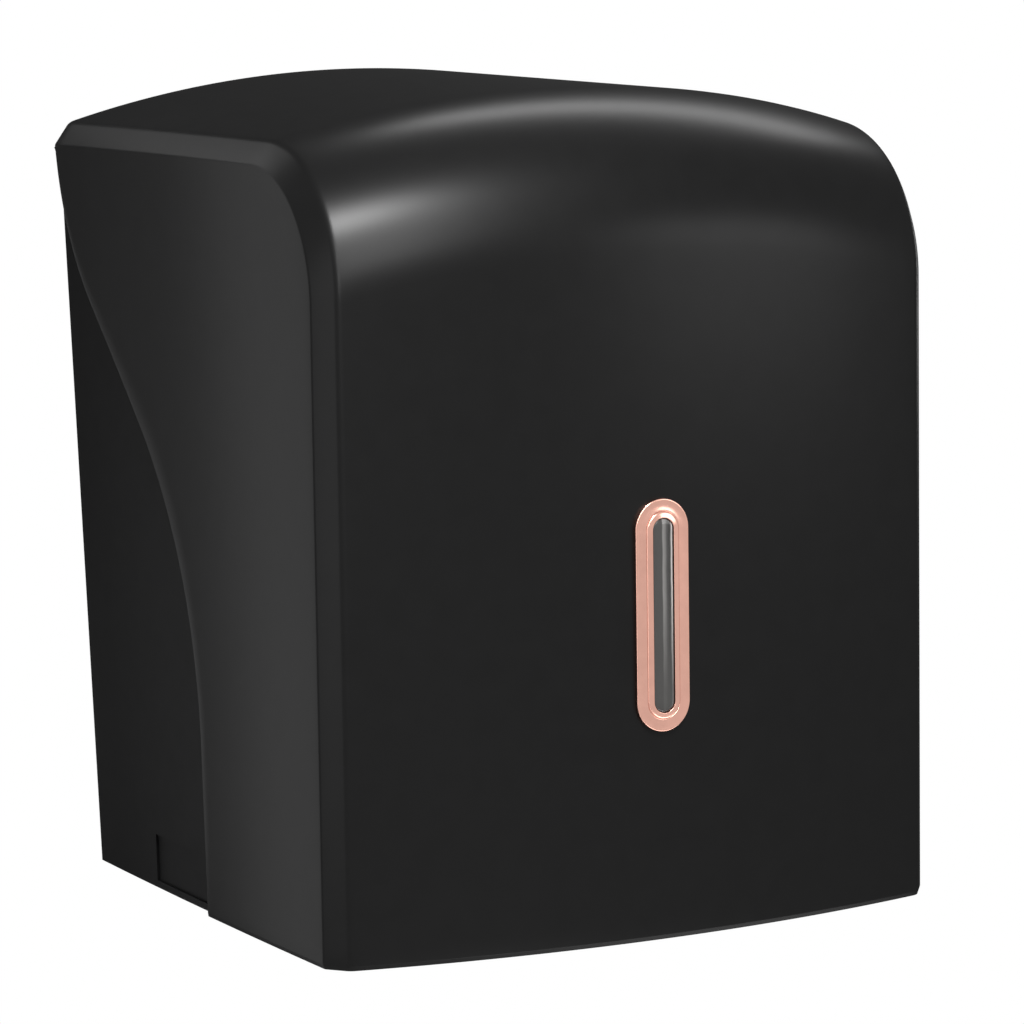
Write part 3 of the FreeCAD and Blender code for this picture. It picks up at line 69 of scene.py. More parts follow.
class Tree:
    """a short way to write a node tree"""

    def __init__(self, tree):
        self.tree = tree
        tree.nodes.clear()

    def add(self, kind, **settings):
        node = self.tree.nodes.new(kind)
        for key, value in settings.items():
            setattr(node, key, value)
        return node

    def link(self, a, b):
        self.tree.links.new(a, b)

    def place(self):
        """the place of a point in its object's own coordinates"""
        return self.add("ShaderNodeTexCoord").outputs["Object"]

    def noise(self, scale, detail=3.0, rough=0.55, stretch=None):
        where = self.place()
        if stretch:
            mapping = self.add("ShaderNodeMapping")
            mapping.inputs["Scale"].default_value = stretch
            self.link(where, mapping.inputs["Vector"])
            where = mapping.outputs["Vector"]
        node = self.add("ShaderNodeTexNoise")
        node.inputs["Scale"].default_value = scale
        node.inputs["Detail"].default_value = detail
        node.inputs["Roughness"].default_value = rough
        self.link(where, node.inputs["Vector"])
        return node.outputs["Fac"]

    def spread(self, value, low, high, start=NOISE_LOW, end=NOISE_HIGH):
        """the value taken from the range start to end to the range low to high"""
        node = self.add("ShaderNodeMapRange")
        node.inputs["From Min"].default_value = start
        node.inputs["From Max"].default_value = end
        node.inputs["To Min"].default_value = low
        node.inputs["To Max"].default_value = high
        self.link(value, node.inputs["Value"])
        return node.outputs["Result"]

    def ramp(self, value, stops):
        """the colour at a value, from (value, colour) stops"""
        node = self.add("ShaderNodeValToRGB")
        elements = node.color_ramp.elements
        elements.remove(elements[1])
        elements[0].position = stops[0][0]
        for where, _ in stops[1:]:
            elements.new(where)
        for element, (_, colour) in zip(elements, stops):
            element.color = (*colour, 1.0)
        self.link(value, node.inputs["Fac"])
        return node.outputs["Color"]

    def shades(self, value, dark, light):
        return self.ramp(value, ((NOISE_LOW, dark), (NOISE_HIGH, light)))

    def bump(self, height, strength, distance):
        node = self.add("ShaderNodeBump")
        node.inputs["Strength"].default_value = strength
        node.inputs["Distance"].default_value = distance
        self.link(height, node.inputs["Height"])
        return node.outputs["Normal"]

    def calc(self, operation, a, b):
        """a Math node on a value and another value or number"""
        node = self.add("ShaderNodeMath", operation=operation)
        self.link(a, node.inputs[0])
        if isinstance(b, float):
            node.inputs[1].default_value = b
        else:
            self.link(b, node.inputs[1])
        return node.outputs["Value"]

    def mix_colours(self, share, a, b):
        node = self.add("ShaderNodeMix", data_type="RGBA")
        used = [socket for socket in node.inputs if socket.enabled]
        for value, socket in zip((share, a, b), used):
            self.link(value, socket)
        return next(socket for socket in node.outputs if socket.enabled)

    def mix_shaders(self, share, a, b):
        node = self.add("ShaderNodeMixShader")
        for value, socket in zip((share, a, b), node.inputs):
            self.link(value, socket)
        return node.outputs["Shader"]

    def background_rays(self):
        """1 for camera, glossy and transmission rays, 0 for the rays that light the object"""
        rays = self.add("ShaderNodeLightPath").outputs
        either = self.calc("MAXIMUM", rays["Is Camera Ray"], rays["Is Glossy Ray"])
        return self.calc("MAXIMUM", either, rays["Is Transmission Ray"])


def new_material(name):
    """a material, its tree and its output socket"""
    material = bpy.data.materials.new(name)
    material.use_nodes = True
    tree = Tree(material.node_tree)
    surface = tree.add("ShaderNodeOutputMaterial").inputs["Surface"]
    return material, tree, surface


# ---- materials ------------------------------------------------------------
PLASTIC_IOR = 1.45


def finish_of(name, colour, change, cloud_scale, roughness, rough_change, rough_scale,
              grain_scale, grain_depth, grain_strength, metallic=0.0, level=0.5,
              coat=0.0, coat_roughness=0.1, coat_ior=1.5, stretch=None):
    """a material with small changes of colour and gloss and a fine relief"""
    material, t, surface = new_material(name)
    shader = t.add("ShaderNodeBsdfPrincipled")
    t.link(shader.outputs["BSDF"], surface)
    dark = tuple(c * (1.0 - change) for c in colour)
    light = tuple(min(1.0, c * (1.0 + change)) for c in colour)
    cloud = t.noise(cloud_scale, 4.0)
    t.link(t.shades(cloud, dark, light), shader.inputs["Base Color"])
    wear = t.noise(rough_scale, 3.0, 0.6, stretch)
    gloss = t.spread(wear, roughness - rough_change, roughness + rough_change)
    t.link(gloss, shader.inputs["Roughness"])
    relief = t.noise(grain_scale, 2.0, 0.5, stretch)
    raised = t.bump(relief, grain_strength, grain_depth)
    t.link(raised, shader.inputs["Normal"])
    if coat:
        t.link(raised, shader.inputs["Coat Normal"])
    shader.inputs["Metallic"].default_value = metallic
    shader.inputs["Specular IOR Level"].default_value = level
    shader.inputs["IOR"].default_value = PLASTIC_IOR
    shader.inputs["Coat Weight"].default_value = coat
    shader.inputs["Coat Roughness"].default_value = coat_roughness
    shader.inputs["Coat IOR"].default_value = coat_ior
    return material


def grey(value):
    return (value, value, value * 1.02)


SATIN = {"level": 0.0, "coat": 0.034, "coat_roughness": 0.32, "coat_ior": 3.5}
DULL = {"level": 0.0, "coat": 0.02, "coat_roughness": 0.42, "coat_ior": 3.5}
METAL = {"metallic": 1.0}
TURNED = {"metallic": 1.0, "stretch": (12.0, 1.0, 1.0)}
GROUND = {"metallic": 1.0, "stretch": (0.1, 1.0, 1.0)}
RUBBER = {"level": 0.3}
PLAIN = {}

# slot: colour, its change, scale of the change; roughness, its change, scale of the change;
# scale, depth in metres and strength of the relief; the rest
FINISHES = {
    "cover_black": (grey(0.0035), 0.12, 90.0, 0.6, 0.03, 300.0, 1800.0, 0.00002, 0.12, SATIN),
    "housing_black": (grey(0.0045), 0.14, 120.0, 0.7, 0.04, 300.0, 1500.0, 0.00004, 0.25, DULL),
    "rose_gold": ((0.63, 0.347, 0.277), 0.05, 60.0, 0.2, 0.03, 240.0,
                  2400.0, 0.00001, 0.08, METAL),
    "zinc_steel": ((0.62, 0.62, 0.6), 0.06, 160.0, 0.36, 0.04, 300.0,
                   1500.0, 0.000006, 0.1, METAL),
    "bright_steel": ((0.7, 0.7, 0.71), 0.04, 120.0, 0.2, 0.05, 300.0,
                     900.0, 0.000005, 0.1, TURNED),
    "blade_steel": ((0.66, 0.66, 0.67), 0.05, 120.0, 0.3, 0.04, 900.0,
                    2400.0, 0.000003, 0.1, GROUND),
    "spring_steel": ((0.4, 0.4, 0.41), 0.08, 150.0, 0.3, 0.06, 300.0,
                     1200.0, 0.000005, 0.1, METAL),
    "chrome_lock": ((0.6, 0.6, 0.61), 0.04, 260.0, 0.16, 0.04, 300.0,
                    1200.0, 0.000003, 0.05, METAL),
    "nylon_white": ((0.72, 0.71, 0.66), 0.04, 90.0, 0.5, 0.05, 200.0,
                    1400.0, 0.00004, 0.2, PLAIN),
    "frame_grey": ((0.06, 0.063, 0.067), 0.1, 60.0, 0.5, 0.05, 160.0,
                   1300.0, 0.00006, 0.3, PLAIN),
    "arm_grey": ((0.09, 0.094, 0.098), 0.1, 70.0, 0.48, 0.05, 160.0,
                 1300.0, 0.00006, 0.3, PLAIN),
    "chute_black": (grey(0.014), 0.12, 60.0, 0.5, 0.05, 160.0, 1400.0, 0.00005, 0.3, PLAIN),
    "lever_black": (grey(0.014), 0.1, 50.0, 0.36, 0.05, 140.0, 1600.0, 0.00003, 0.2, PLAIN),
    "grip_rubber": (grey(0.022), 0.18, 120.0, 0.75, 0.05, 260.0, 900.0, 0.00012, 0.5, RUBBER),
    "roller_rubber": ((0.11, 0.112, 0.118), 0.12, 120.0, 0.7, 0.05, 260.0,
                      900.0, 0.0001, 0.45, RUBBER),
    "gear_nylon": ((0.66, 0.63, 0.53), 0.05, 90.0, 0.42, 0.05, 200.0,
                   1400.0, 0.00004, 0.2, PLAIN),
    "core_plastic": ((0.12, 0.122, 0.128), 0.1, 90.0, 0.5, 0.05, 200.0,
                     1400.0, 0.00005, 0.25, PLAIN),
    "knob_green": ((0.03, 0.2, 0.09), 0.08, 90.0, 0.42, 0.05, 200.0,
                   1400.0, 0.00005, 0.25, PLAIN),
    "hub_plastic": ((0.1, 0.103, 0.107), 0.1, 90.0, 0.46, 0.05, 200.0,
                    1400.0, 0.00005, 0.25, PLAIN),
}

LENS_HALF = 0.00485         # half the lens's width, in metres
PAINTED_HIGHLIGHTS_FADE = (-0.068, -0.108)    # heights at which its painted highlight lines start to fade and are gone
# painted highlights: (share across the lens, brightness) stops of lighter lines that stand in
# for reflections
LENS_PAINTED_HIGHLIGHTS = ((0.0, 0.07), (0.4, 0.075), (0.46, 0.27), (0.57, 0.2), (0.66, 0.08), (0.78, 0.04),
              (0.85, 0.08), (0.9, 0.65), (0.94, 0.6), (0.97, 0.05))


def smoked_lens():
    """smoked plastic with painted highlight lines along its length, which stand in for the
    reflections a domed strip shows
    """
    material, t, surface = new_material("smoked_lens")
    shader = t.add("ShaderNodeBsdfPrincipled")
    t.link(shader.outputs["BSDF"], surface)
    split = t.add("ShaderNodeSeparateXYZ")
    t.link(t.place(), split.inputs["Vector"])
    across = t.spread(split.outputs["X"], 0.0, 1.0, -LENS_HALF, LENS_HALF)
    wobble = t.spread(t.noise(120.0, 2.0), -0.012, 0.012)
    # painted highlight lines across the lens, mixed into its own smoked tone towards the lower
    # end
    stops = [(where, (v, v * 0.97, v * 0.94)) for where, v in LENS_PAINTED_HIGHLIGHTS]
    painted_highlights = t.ramp(t.calc("ADD", across, wobble), stops)
    ground = t.shades(t.noise(60.0, 2.0), (0.07, 0.068, 0.066), (0.08, 0.078, 0.075))
    highlights_faded = t.spread(split.outputs["Z"], 0.0, 0.9, *PAINTED_HIGHLIGHTS_FADE)
    t.link(t.mix_colours(highlights_faded, painted_highlights, ground), shader.inputs["Base Color"])
    t.link(t.spread(t.noise(200.0, 2.0), 0.04, 0.08), shader.inputs["Roughness"])
    shader.inputs["Transmission Weight"].default_value = 0.35
    shader.inputs["IOR"].default_value = PLASTIC_IOR
    shader.inputs["Specular IOR Level"].default_value = 0.3
    return material


looks = {slot: finish_of(slot, *row[:-1], **row[-1]) for slot, row in FINISHES.items()}
looks["cover_black"].name = "cover_satin_black"
looks["smoked_lens"] = smoked_lens()

slots = {row["node"]: row["material_slot"] for row in frame["record"]["subparts"]}
for name, node in frame["nodes"].items():
    for slot in node.material_slots:
        slot.material = looks[slots[name]]


# ---- front cover: its surfaces --------------------------------------------
# The same surfaces as the CAD cover, in millimetres above the lower rim, with soft edges.
RIM = 217.5         # the frame's origin is this far above the rim
HALF = 149.5        # half the width at the front
SIDE_H = 341.0      # height of the sides
TUCK = 6.0          # how far each side closes in at the lower rear
FLARE = 12.0        # how much wider each side is at the upper rear than at the lower
DEPTH = 258.0       # depth of the sides
BEVEL = 8.0
BULGE = 16.5        # bow of the front
ARCH = 19.5         # vault of the top
SLOPE = math.radians(1.43)      # the top's rise towards the rear
FILLET = 67.0       # radius between the front and the top
WALL = 3.0
REAR_GAP = 1.0      # between the cover and the wall plane
FRONT = DEPTH + BEVEL + BULGE
TOP = SIDE_H + BEVEL + ARCH
FRONT_R = ((HALF - BEVEL) ** 2 + BULGE ** 2) / (2.0 * BULGE)
TOP_R = ((HALF - BEVEL) ** 2 + ARCH ** 2) / (2.0 * ARCH)

# the swept rear edge of the sides: a leaning line, an arc, a steep line and a second arc
KNEE_DEPTH = 134.2
KNEE_Z = 76.0
SWEEP_R = 212.0
HEAD_R = 116.0
LEAN = math.radians(1.5)
STEEP = math.radians(43.0)
FOOT_Y = -KNEE_DEPTH + SWEEP_R * math.cos(LEAN)
FOOT_Z = KNEE_Z - SWEEP_R * math.sin(LEAN)
SLOPE_Y = FOOT_Y - SWEEP_R * math.cos(STEEP)
SLOPE_Z = FOOT_Z + SWEEP_R * math.sin(STEEP)
HEAD_Y = -REAR_GAP - HEAD_R
RUN = (HEAD_Y + HEAD_R * math.cos(STEEP) - SLOPE_Y) / math.tan(STEEP)
HEAD_Z = SLOPE_Z + RUN + HEAD_R * math.sin(STEEP)


def at(x, y, z):
    """a point given in millimetres above the rim, in the frame's metres"""
    return Vector((x / 1000.0, y / 1000.0, (z - RIM) / 1000.0))


def half_width_at(depth, height):
    back = 1.0 - depth / DEPTH
    return HALF + (FLARE * height / SIDE_H - TUCK) * back * back


def front_y(x, inset=0.0):
    return FRONT_R - FRONT - math.sqrt((FRONT_R - inset) ** 2 - x * x)


def swept_depth(height):
    """how far the swept edge is from the wall plane"""
    if height <= KNEE_Z:
        return KNEE_DEPTH + (KNEE_Z - height) * math.tan(LEAN)
    if height <= SLOPE_Z:
        return math.sqrt(SWEEP_R ** 2 - (height - FOOT_Z) ** 2) - FOOT_Y
    if height <= SLOPE_Z + RUN:
        return -SLOPE_Y - (height - SLOPE_Z) * math.tan(STEEP)
    if height <= HEAD_Z:
        return -HEAD_Y - math.sqrt(HEAD_R ** 2 - (HEAD_Z - height) ** 2)
    return REAR_GAP


# rim rows: (inset, height). Tail rows, for the rear edges: (inset, distance from the edge).
RIM_TOP = 2.15
RIM_ROWS = [(0.95, 0.0), (0.8, 0.03), (0.69, 0.1), (0.62, 0.2), (0.56, 0.36), (0.1, 1.76),
            (0.03, 1.95), (0.0, RIM_TOP)]
TAIL_ROWS = [(0.0, 1.6), (0.22, 0.8), (0.41, 0.45), (0.65, 0.23), (0.93, 0.08), (1.33, 0.0)]
INNER_RIM_STEP = 0.2    # between the inner face's rim rows
ON_RIM, ON_FRONT, ON_CORNER, ON_TOP = range(4)      # the zones of the rows
FRONT_STEPS = 40
CORNER_STEPS = 28
TOP_STEPS = 26
FACE_STEPS = 26         # from the middle to the bevel
SIDE_STEPS = 18         # from the bevel to the swept edge
EDGE_STEPS = 400        # along the swept edge, to measure it
EDGE_TOP = 3.0          # the swept edge ends this far under the last bevel corner
FACE_SOFT = 2.4         # how far the bevel's soft front edge reaches on the face
BEVEL_SOFT = 2.0        # and on the bevel
BEVEL_SOFT_STEPS = 5
CORNER_SOFT = 0.9       # how far its rear edge is softened
CORNER_SOFT_STEPS = 4
SIDE_RANGE = (60.0, 160.0)      # a row meets the side between these, from the middle
FACE_LEAST = 40.0               # its bevel starts farther out than this


def shell_point(zone, t, u, inset, back_shift=0.0):
    """a point at u from the middle; t is a height on the rim, elsewhere a share of the zone"""
    ball = FILLET - inset
    front = FRONT_R - inset - ball
    vault = TOP_R - inset - ball
    y_axis = FRONT_R - FRONT
    y = y_axis - math.sqrt(front * front - u * u)
    drop = math.sqrt(vault * vault - u * u) - TOP_R
    along = (y + drop * math.sin(SLOPE)) / math.cos(SLOPE)
    z = TOP + along * math.sin(SLOPE) + drop * math.cos(SLOPE)
    normal_front = Vector((u, y - y_axis, 0.0)) / front
    lifted = (drop + TOP_R) / vault
    normal_top = Vector((u / vault, -lifted * math.sin(SLOPE), lifted * math.cos(SLOPE)))
    centre = Vector((u, y, z))
    if zone in (ON_RIM, ON_FRONT):
        point = centre + ball * normal_front
        point.z = t if zone == ON_RIM else RIM_TOP + (z - RIM_TOP) * t
        return point
    if zone == ON_CORNER:
        angle = normal_front.angle(normal_top)
        mixed = normal_front * math.sin((1.0 - t) * angle) + normal_top * math.sin(t * angle)
        return centre + ball * mixed / math.sin(angle)
    point = centre + ball * normal_top
    direction = Vector((0.0, math.cos(SLOPE), math.sin(SLOPE)))
    reach = (-REAR_GAP - back_shift - point.y) / math.cos(SLOPE)
    return point + direction * reach * t


def solve(low, high, test):
    """where a rising test crosses 0"""
    for _ in range(40):
        middle = (low + high) / 2.0
        if test(middle) > 0.0:
            high = middle
        else:
            low = middle
    return (low + high) / 2.0


def bezier(a, b, c, steps):
    shares = [k / steps for k in range(steps + 1)]
    return [a * (1 - s) ** 2 + b * 2 * s * (1 - s) + c * s * s for s in shares]


def bevel_width(inset):
    return BEVEL - inset * (2.0 - math.sqrt(2.0))


def casing_rows(inset):
    """the rows up the front and back over the top: (zone, t, inset, shift of the rear edge)"""
    inside = inset > 0.0
    rows = [(ON_RIM, INNER_RIM_STEP * k if inside else height, inset if inside else own, 0.0)
            for k, (own, height) in enumerate(RIM_ROWS)]
    rows += [(ON_FRONT, k / FRONT_STEPS, inset, 0.0) for k in range(1, FRONT_STEPS)]
    rows += [(ON_CORNER, k / CORNER_STEPS, inset, 0.0) for k in range(CORNER_STEPS + 1)]
    rows += [(ON_TOP, k / TOP_STEPS, inset, 0.0) for k in range(1, TOP_STEPS)]
    rows += [(ON_TOP, 1.0, inset if inside else own, 0.0 if inside else shift)
             for own, shift in TAIL_ROWS]
    return rows


def casing_grid(inset):
    """the rows of one face of the shell, each from the left swept edge to the right one"""
    rows = casing_rows(inset)

    # where each row would meet the side without the bevel
    edge = []
    for zone, t, own, shift in rows:
        def outside(u):
            p = shell_point(zone, t, u, own, shift)
            return p.x - half_width_at(-p.y, p.z) + own
        u = solve(*SIDE_RANGE, outside)
        edge.append((u, shell_point(zone, t, u, own, shift)))

    # where it meets the side with the bevel
    corners = []
    for k, (zone, t, own, shift) in enumerate(rows):
        if zone in (ON_RIM, ON_FRONT):
            along = Vector((0.0, 0.0, 1.0))
        elif zone == ON_TOP:
            along = Vector((0.0, math.cos(SLOPE), math.sin(SLOPE)))
        else:
            along = edge[k + 1][1] - edge[k - 1][1]
            along.x = 0.0
            along.normalize()
        corner = edge[k][1] + Vector((0.0, along.z, -along.y)) * bevel_width(own)
        corner.x = half_width_at(-corner.y, corner.z) - own
        corners.append(corner)
    lengths = [0.0]
    for a, b in zip(corners, corners[1:]):
        lengths.append(lengths[-1] + (b - a).length)

    # the swept edge, and how far along it each of its points lies
    top = corners[-1].z - EDGE_TOP
    heights = [top * k / EDGE_STEPS for k in range(EDGE_STEPS + 1)]
    swept = [(z, -swept_depth(z)) for z in heights]
    runs = [0.0]
    for a, b in zip(swept, swept[1:]):
        runs.append(runs[-1] + math.hypot(b[0] - a[0], b[1] - a[1]))

    def swept_point(share, own, shift):
        goal = share * runs[-1]
        k = 0
        while k < EDGE_STEPS - 1 and runs[k + 1] < goal:
            k += 1
        s = (goal - runs[k]) / (runs[k + 1] - runs[k])
        dz = swept[k + 1][0] - swept[k][0]
        dy = swept[k + 1][1] - swept[k][1]
        size = math.hypot(dz, dy)
        y = swept[k][1] + dy * s - shift * dz / size
        z = swept[k][0] + dz * s + shift * dy / size
        return Vector((half_width_at(-y, z) - own, y, z))

    grid = []
    for k, (zone, t, own, shift) in enumerate(rows):
        bevel = bevel_width(own)
        u_edge, e = edge[k]

        def u_before(gap):
            return solve(FACE_LEAST, u_edge,
                         lambda u: gap - (shell_point(zone, t, u, own, shift) - e).length)

        u_soft = u_before(bevel + FACE_SOFT)
        face = shell_point(zone, t, u_before(bevel), own, shift)
        soft = shell_point(zone, t, u_soft, own, shift)
        corner = corners[k]
        band = (corner - face).normalized()
        share = lengths[k] / lengths[-1]
        on_rim = zone == ON_RIM
        side_inset = own if on_rim else inset
        target = swept_point(share, side_inset, TAIL_ROWS[0][1] if inset == 0.0 else 0.0)
        if on_rim:
            target.z = t
            target.x = half_width_at(-target.y, t) - own
        side_way = (target - corner).normalized()
        half = [shell_point(zone, t, u_soft * m / FACE_STEPS, own, shift)
                for m in range(FACE_STEPS)]
        half += bezier(soft, face, face + band * BEVEL_SOFT, BEVEL_SOFT_STEPS)
        half += bezier(corner - band * CORNER_SOFT, corner, corner + side_way * CORNER_SOFT,
                       CORNER_SOFT_STEPS)
        start = half[-1]
        for m in range(1, SIDE_STEPS + 1):
            p = start.lerp(target, m / SIDE_STEPS)
            p.x = half_width_at(-p.y, p.z) - side_inset
            half.append(p)
        if inset == 0.0:
            for own_tail, shift_tail in TAIL_ROWS[1:]:
                p = swept_point(share, max(own_tail, own if on_rim else 0.0), shift_tail)
                if on_rim:
                    p.z = t
                half.append(p)
        left = [Vector((-p.x, p.y, p.z)) for p in reversed(half[1:])]
        grid.append(left + half)
    return grid


# ---- front cover: its pieces ----------------------------------------------
WINDOW_Z = 140.5            # the window's middle
COLLAR = (20.0, 91.0)       # the opening in the cover that takes the window's ring
LOCK_Y = -45.5938
LOCK_Z = 300.0
LOCK_R = 8.0
OPENING_STEPS = 28          # round each end of the window's opening
OPENING_RUN = (-FRONT - 6.0, -FRONT + 20.0)     # its tool, from before the front to behind it
BORE_RUN = (140.0, 160.0)   # the lock bore's tool, through the right side
BORE_TURNS = 64
HINGE_Y = -144.0235
HINGE_Z = 14.0
RING_STEPS = 40             # round each end of the window's ring and lens


def mesh_of(name, points, faces):
    mesh = bpy.data.meshes.new(name)
    mesh.from_pydata(points, [], faces)
    mesh.validate()
    return mesh


def add_piece(mesh, name, slot_name, nodes=(), sharp=35.0):
    """a piece of the cover, which may stand for CAD nodes; sharp is in degrees"""
    mesh.materials.clear()
    mesh.materials.append(looks[slot_name])
    for polygon in mesh.polygons:
        polygon.use_smooth = True
    mesh.set_sharp_from_angle(angle=math.radians(sharp))
    piece = bpy.data.objects.new(name, mesh)
    scene.collection.objects.link(piece)
    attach(piece, "cover")
    if nodes:
        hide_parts(*nodes)


def build_cover_mesh():
    outer = casing_grid(0.0)
    inner = casing_grid(WALL)
    outer_wide = len(outer[0])
    inner_wide = len(inner[0])
    last = len(outer) - 1
    points = [at(p.x, p.y, p.z) for row in outer + inner for p in row]
    inner_start = len(outer) * outer_wide
    faces = []

    def turned(face, turn):
        return tuple(reversed(face)) if turn else face

    for start, wide, inwards in ((0, outer_wide, False), (inner_start, inner_wide, True)):
        for j in range(last):
            for i in range(wide - 1):
                a = start + j * wide + i
                faces.append(turned((a, a + 1, a + wide + 1, a + wide), inwards))
    # the lower rim and the rear edge; the outer rows have more points at each end
    extra = (outer_wide - inner_wide) // 2
    for j, at_rear in ((0, False), (last, True)):
        for i in range(inner_wide - 1):
            a = j * outer_wide + i + extra
            b = inner_start + j * inner_wide + i
            faces.append(turned((a, b, b + 1, a + 1), at_rear))
    for right_side in (False, True):
        # the swept edges
        for j in range(last):
            a = j * outer_wide + (outer_wide - 1 if right_side else 0)
            b = inner_start + j * inner_wide + (inner_wide - 1 if right_side else 0)
            faces.append(turned((a, a + outer_wide, b + inner_wide, b), right_side))
        # small triangles where the rim and the rear edge meet the swept edge
        for j, at_rear in ((0, False), (last, True)):
            b = inner_start + j * inner_wide + (inner_wide - 1 if right_side else 0)
            for m in range(extra):
                a = j * outer_wide + m + (outer_wide - 1 - extra if right_side else 0)
                faces.append((b, a, a + 1) if at_rear else (b, a + 1, a))
    return mesh_of("front_cover_shell", points, faces)


def obround(width, length, steps):
    """the outline of an obround that stands upright, as (x, z) pairs with a middle of 0"""
    r = width / 2.0
    h = length / 2.0 - r
    outline = []
    for middle, first in ((h, 0.0), (-h, math.pi)):
        for k in range(steps + 1):
            a = first + math.pi * k / steps
            outline.append((r * math.cos(a), middle + r * math.sin(a)))
    return outline


def lathe_x(rings, y, z, turns=72, closed=True):
    """a ring profile of (x, radius) pairs turned about a line along X"""
    points = []
    faces = []
    for x, r in rings:
        for k in range(turns):
            a = 2.0 * math.pi * k / turns
            points.append(at(x, y + r * math.cos(a), z + r * math.sin(a)))
    count = len(rings)
    for j in range(count if closed else count - 1):
        n = (j + 1) % count
        for k in range(turns):
            m = (k + 1) % turns
            faces.append((j * turns + k, n * turns + k, n * turns + m, j * turns + m))
    return points, faces


def cut_with(piece_mesh, tool_points, tool_faces, name):
    """the mesh less a closed tool"""
    body = bpy.data.objects.new(name + "_blank", piece_mesh)
    tool_mesh = mesh_of(name + "_tool", tool_points, tool_faces)
    tool = bpy.data.objects.new(name + "_tool", tool_mesh)
    scene.collection.objects.link(body)
    scene.collection.objects.link(tool)
    modifier = body.modifiers.new("cut", "BOOLEAN")
    modifier.operation = "DIFFERENCE"
    modifier.solver = "EXACT"
    modifier.object = tool
    bpy.context.view_layer.update()
    graph = bpy.context.evaluated_depsgraph_get()
    result = bpy.data.meshes.new_from_object(body.evaluated_get(graph))
    result.name = name
    bpy.data.objects.remove(body)
    bpy.data.objects.remove(tool)
    return result


# the shell, with the window's opening and the lock's bore
cover_mesh = build_cover_mesh()
outline = obround(*COLLAR, OPENING_STEPS)
count = len(outline)
tool_points = [at(x, y, WINDOW_Z + z) for y in OPENING_RUN for x, z in outline]
tool_faces = [tuple(range(count)), tuple(reversed(range(count, 2 * count)))]
tool_faces += [(k, count + k, count + (k + 1) % count, (k + 1) % count) for k in range(count)]
cover_mesh = cut_with(cover_mesh, tool_points, tool_faces, "front_cover_shell")
bore_points, bore_faces = lathe_x([(x, LOCK_R) for x in BORE_RUN], LOCK_Y, LOCK_Z,
                                  BORE_TURNS, False)
bore_faces += [tuple(range(BORE_TURNS)), tuple(reversed(range(BORE_TURNS, 2 * BORE_TURNS)))]
cover_mesh = cut_with(cover_mesh, bore_points, bore_faces, "front_cover_shell")
add_piece(cover_mesh, "front_cover_shell", "cover_black", ["front_cover"], 30.0)

# the stiffening lip behind the lower rim of the front
LIP_OUTER = 2.8         # behind the front's face
LIP_INNER = 9.0
LIP_HEIGHT = 2.5
LIP_ROUND = 0.4
LIP_STEPS = 64
LIP_FACE = 140.34       # half the width of its bowed part
LIP_HALF = 145.54
LIP_INNER_HALF = 136.2
LIP_CORNERS = [(-LIP_HALF, -258.0), (-142.9, -260.64)]      # along the inside of the bevel
bowed = [-LIP_FACE + 2.0 * LIP_FACE * k / LIP_STEPS for k in range(LIP_STEPS + 1)]
lip_outer = LIP_CORNERS + [(x, front_y(x, LIP_OUTER)) for x in bowed]
lip_outer += [(-x, y) for x, y in reversed(LIP_CORNERS)]
lip_points = []
for ox, oy in lip_outer:
    ix = ox * LIP_INNER_HALF / LIP_HALF
    iy = front_y(ix, LIP_INNER)
    across = Vector((ix - ox, iy - oy, 0.0)).normalized() * LIP_ROUND
    lip_points += [at(ox, oy, 0.0), at(ox, oy, LIP_HEIGHT),
                   at(ix - across.x, iy - across.y, LIP_HEIGHT),
                   at(ix, iy, LIP_HEIGHT - LIP_ROUND), at(ix, iy, LIP_ROUND),
                   at(ix - across.x, iy - across.y, 0.0)]
lip_faces = []
for k in range(0, 6 * len(lip_outer) - 6, 6):
    for m in range(6):
        n = (m + 1) % 6
        lip_faces.append((k + m, k + 6 + m, k + 6 + n, k + n))
end = len(lip_points)
lip_faces += [(0, 1, 2, 3, 4, 5), tuple(range(end - 1, end - 7, -1))]
add_piece(mesh_of("cover_front_lip", lip_points, lip_faces), "cover_front_lip", "cover_black")

# the pad round the lock, and the pivots that the hinge keys turn in: (x, radius) profiles
PAD_RINGS = [(146.6, 11.6), (146.6, LOCK_R), (154.19, LOCK_R), (154.19, 11.3), (154.05, 11.8),
             (153.7, 12.0), (147.0, 12.0)]
PIVOT_RINGS = [(137.8, 0.001), (137.8, 3.5), (138.1, 3.85), (138.5, 4.0), (147.8, 4.0),
               (148.0, 4.25), (148.0, 0.001)]
PIVOT_TURNS = 48
pad_mesh = mesh_of("lock_pad", *lathe_x(PAD_RINGS, LOCK_Y, LOCK_Z))
add_piece(pad_mesh, "cover_lock_pad", "cover_black")
for name, rings in (("cover_pivot_right", PIVOT_RINGS[::-1]),
                    ("cover_pivot_left", [(-x, r) for x, r in PIVOT_RINGS])):
    pivot_mesh = mesh_of(name, *lathe_x(rings, HINGE_Y, HINGE_Z, PIVOT_TURNS))
    add_piece(pivot_mesh, name, "cover_black")


def window_skin(rows, closed):
    """points and faces of a skin through obrounds: (width, length, height above the front)"""
    points = []
    faces = []
    for width, length, proud in rows:
        for x, z in obround(width, length, RING_STEPS):
            points.append(at(x, front_y(x) - proud, WINDOW_Z + z))
    wide = 2 * (RING_STEPS + 1)
    for j in range(len(rows) if closed else len(rows) - 1):
        n = (j + 1) % len(rows)
        for k in range(wide):
            m = (k + 1) % wide
            faces.append((j * wide + k, j * wide + m, n * wide + m, n * wide + k))
    return points, faces


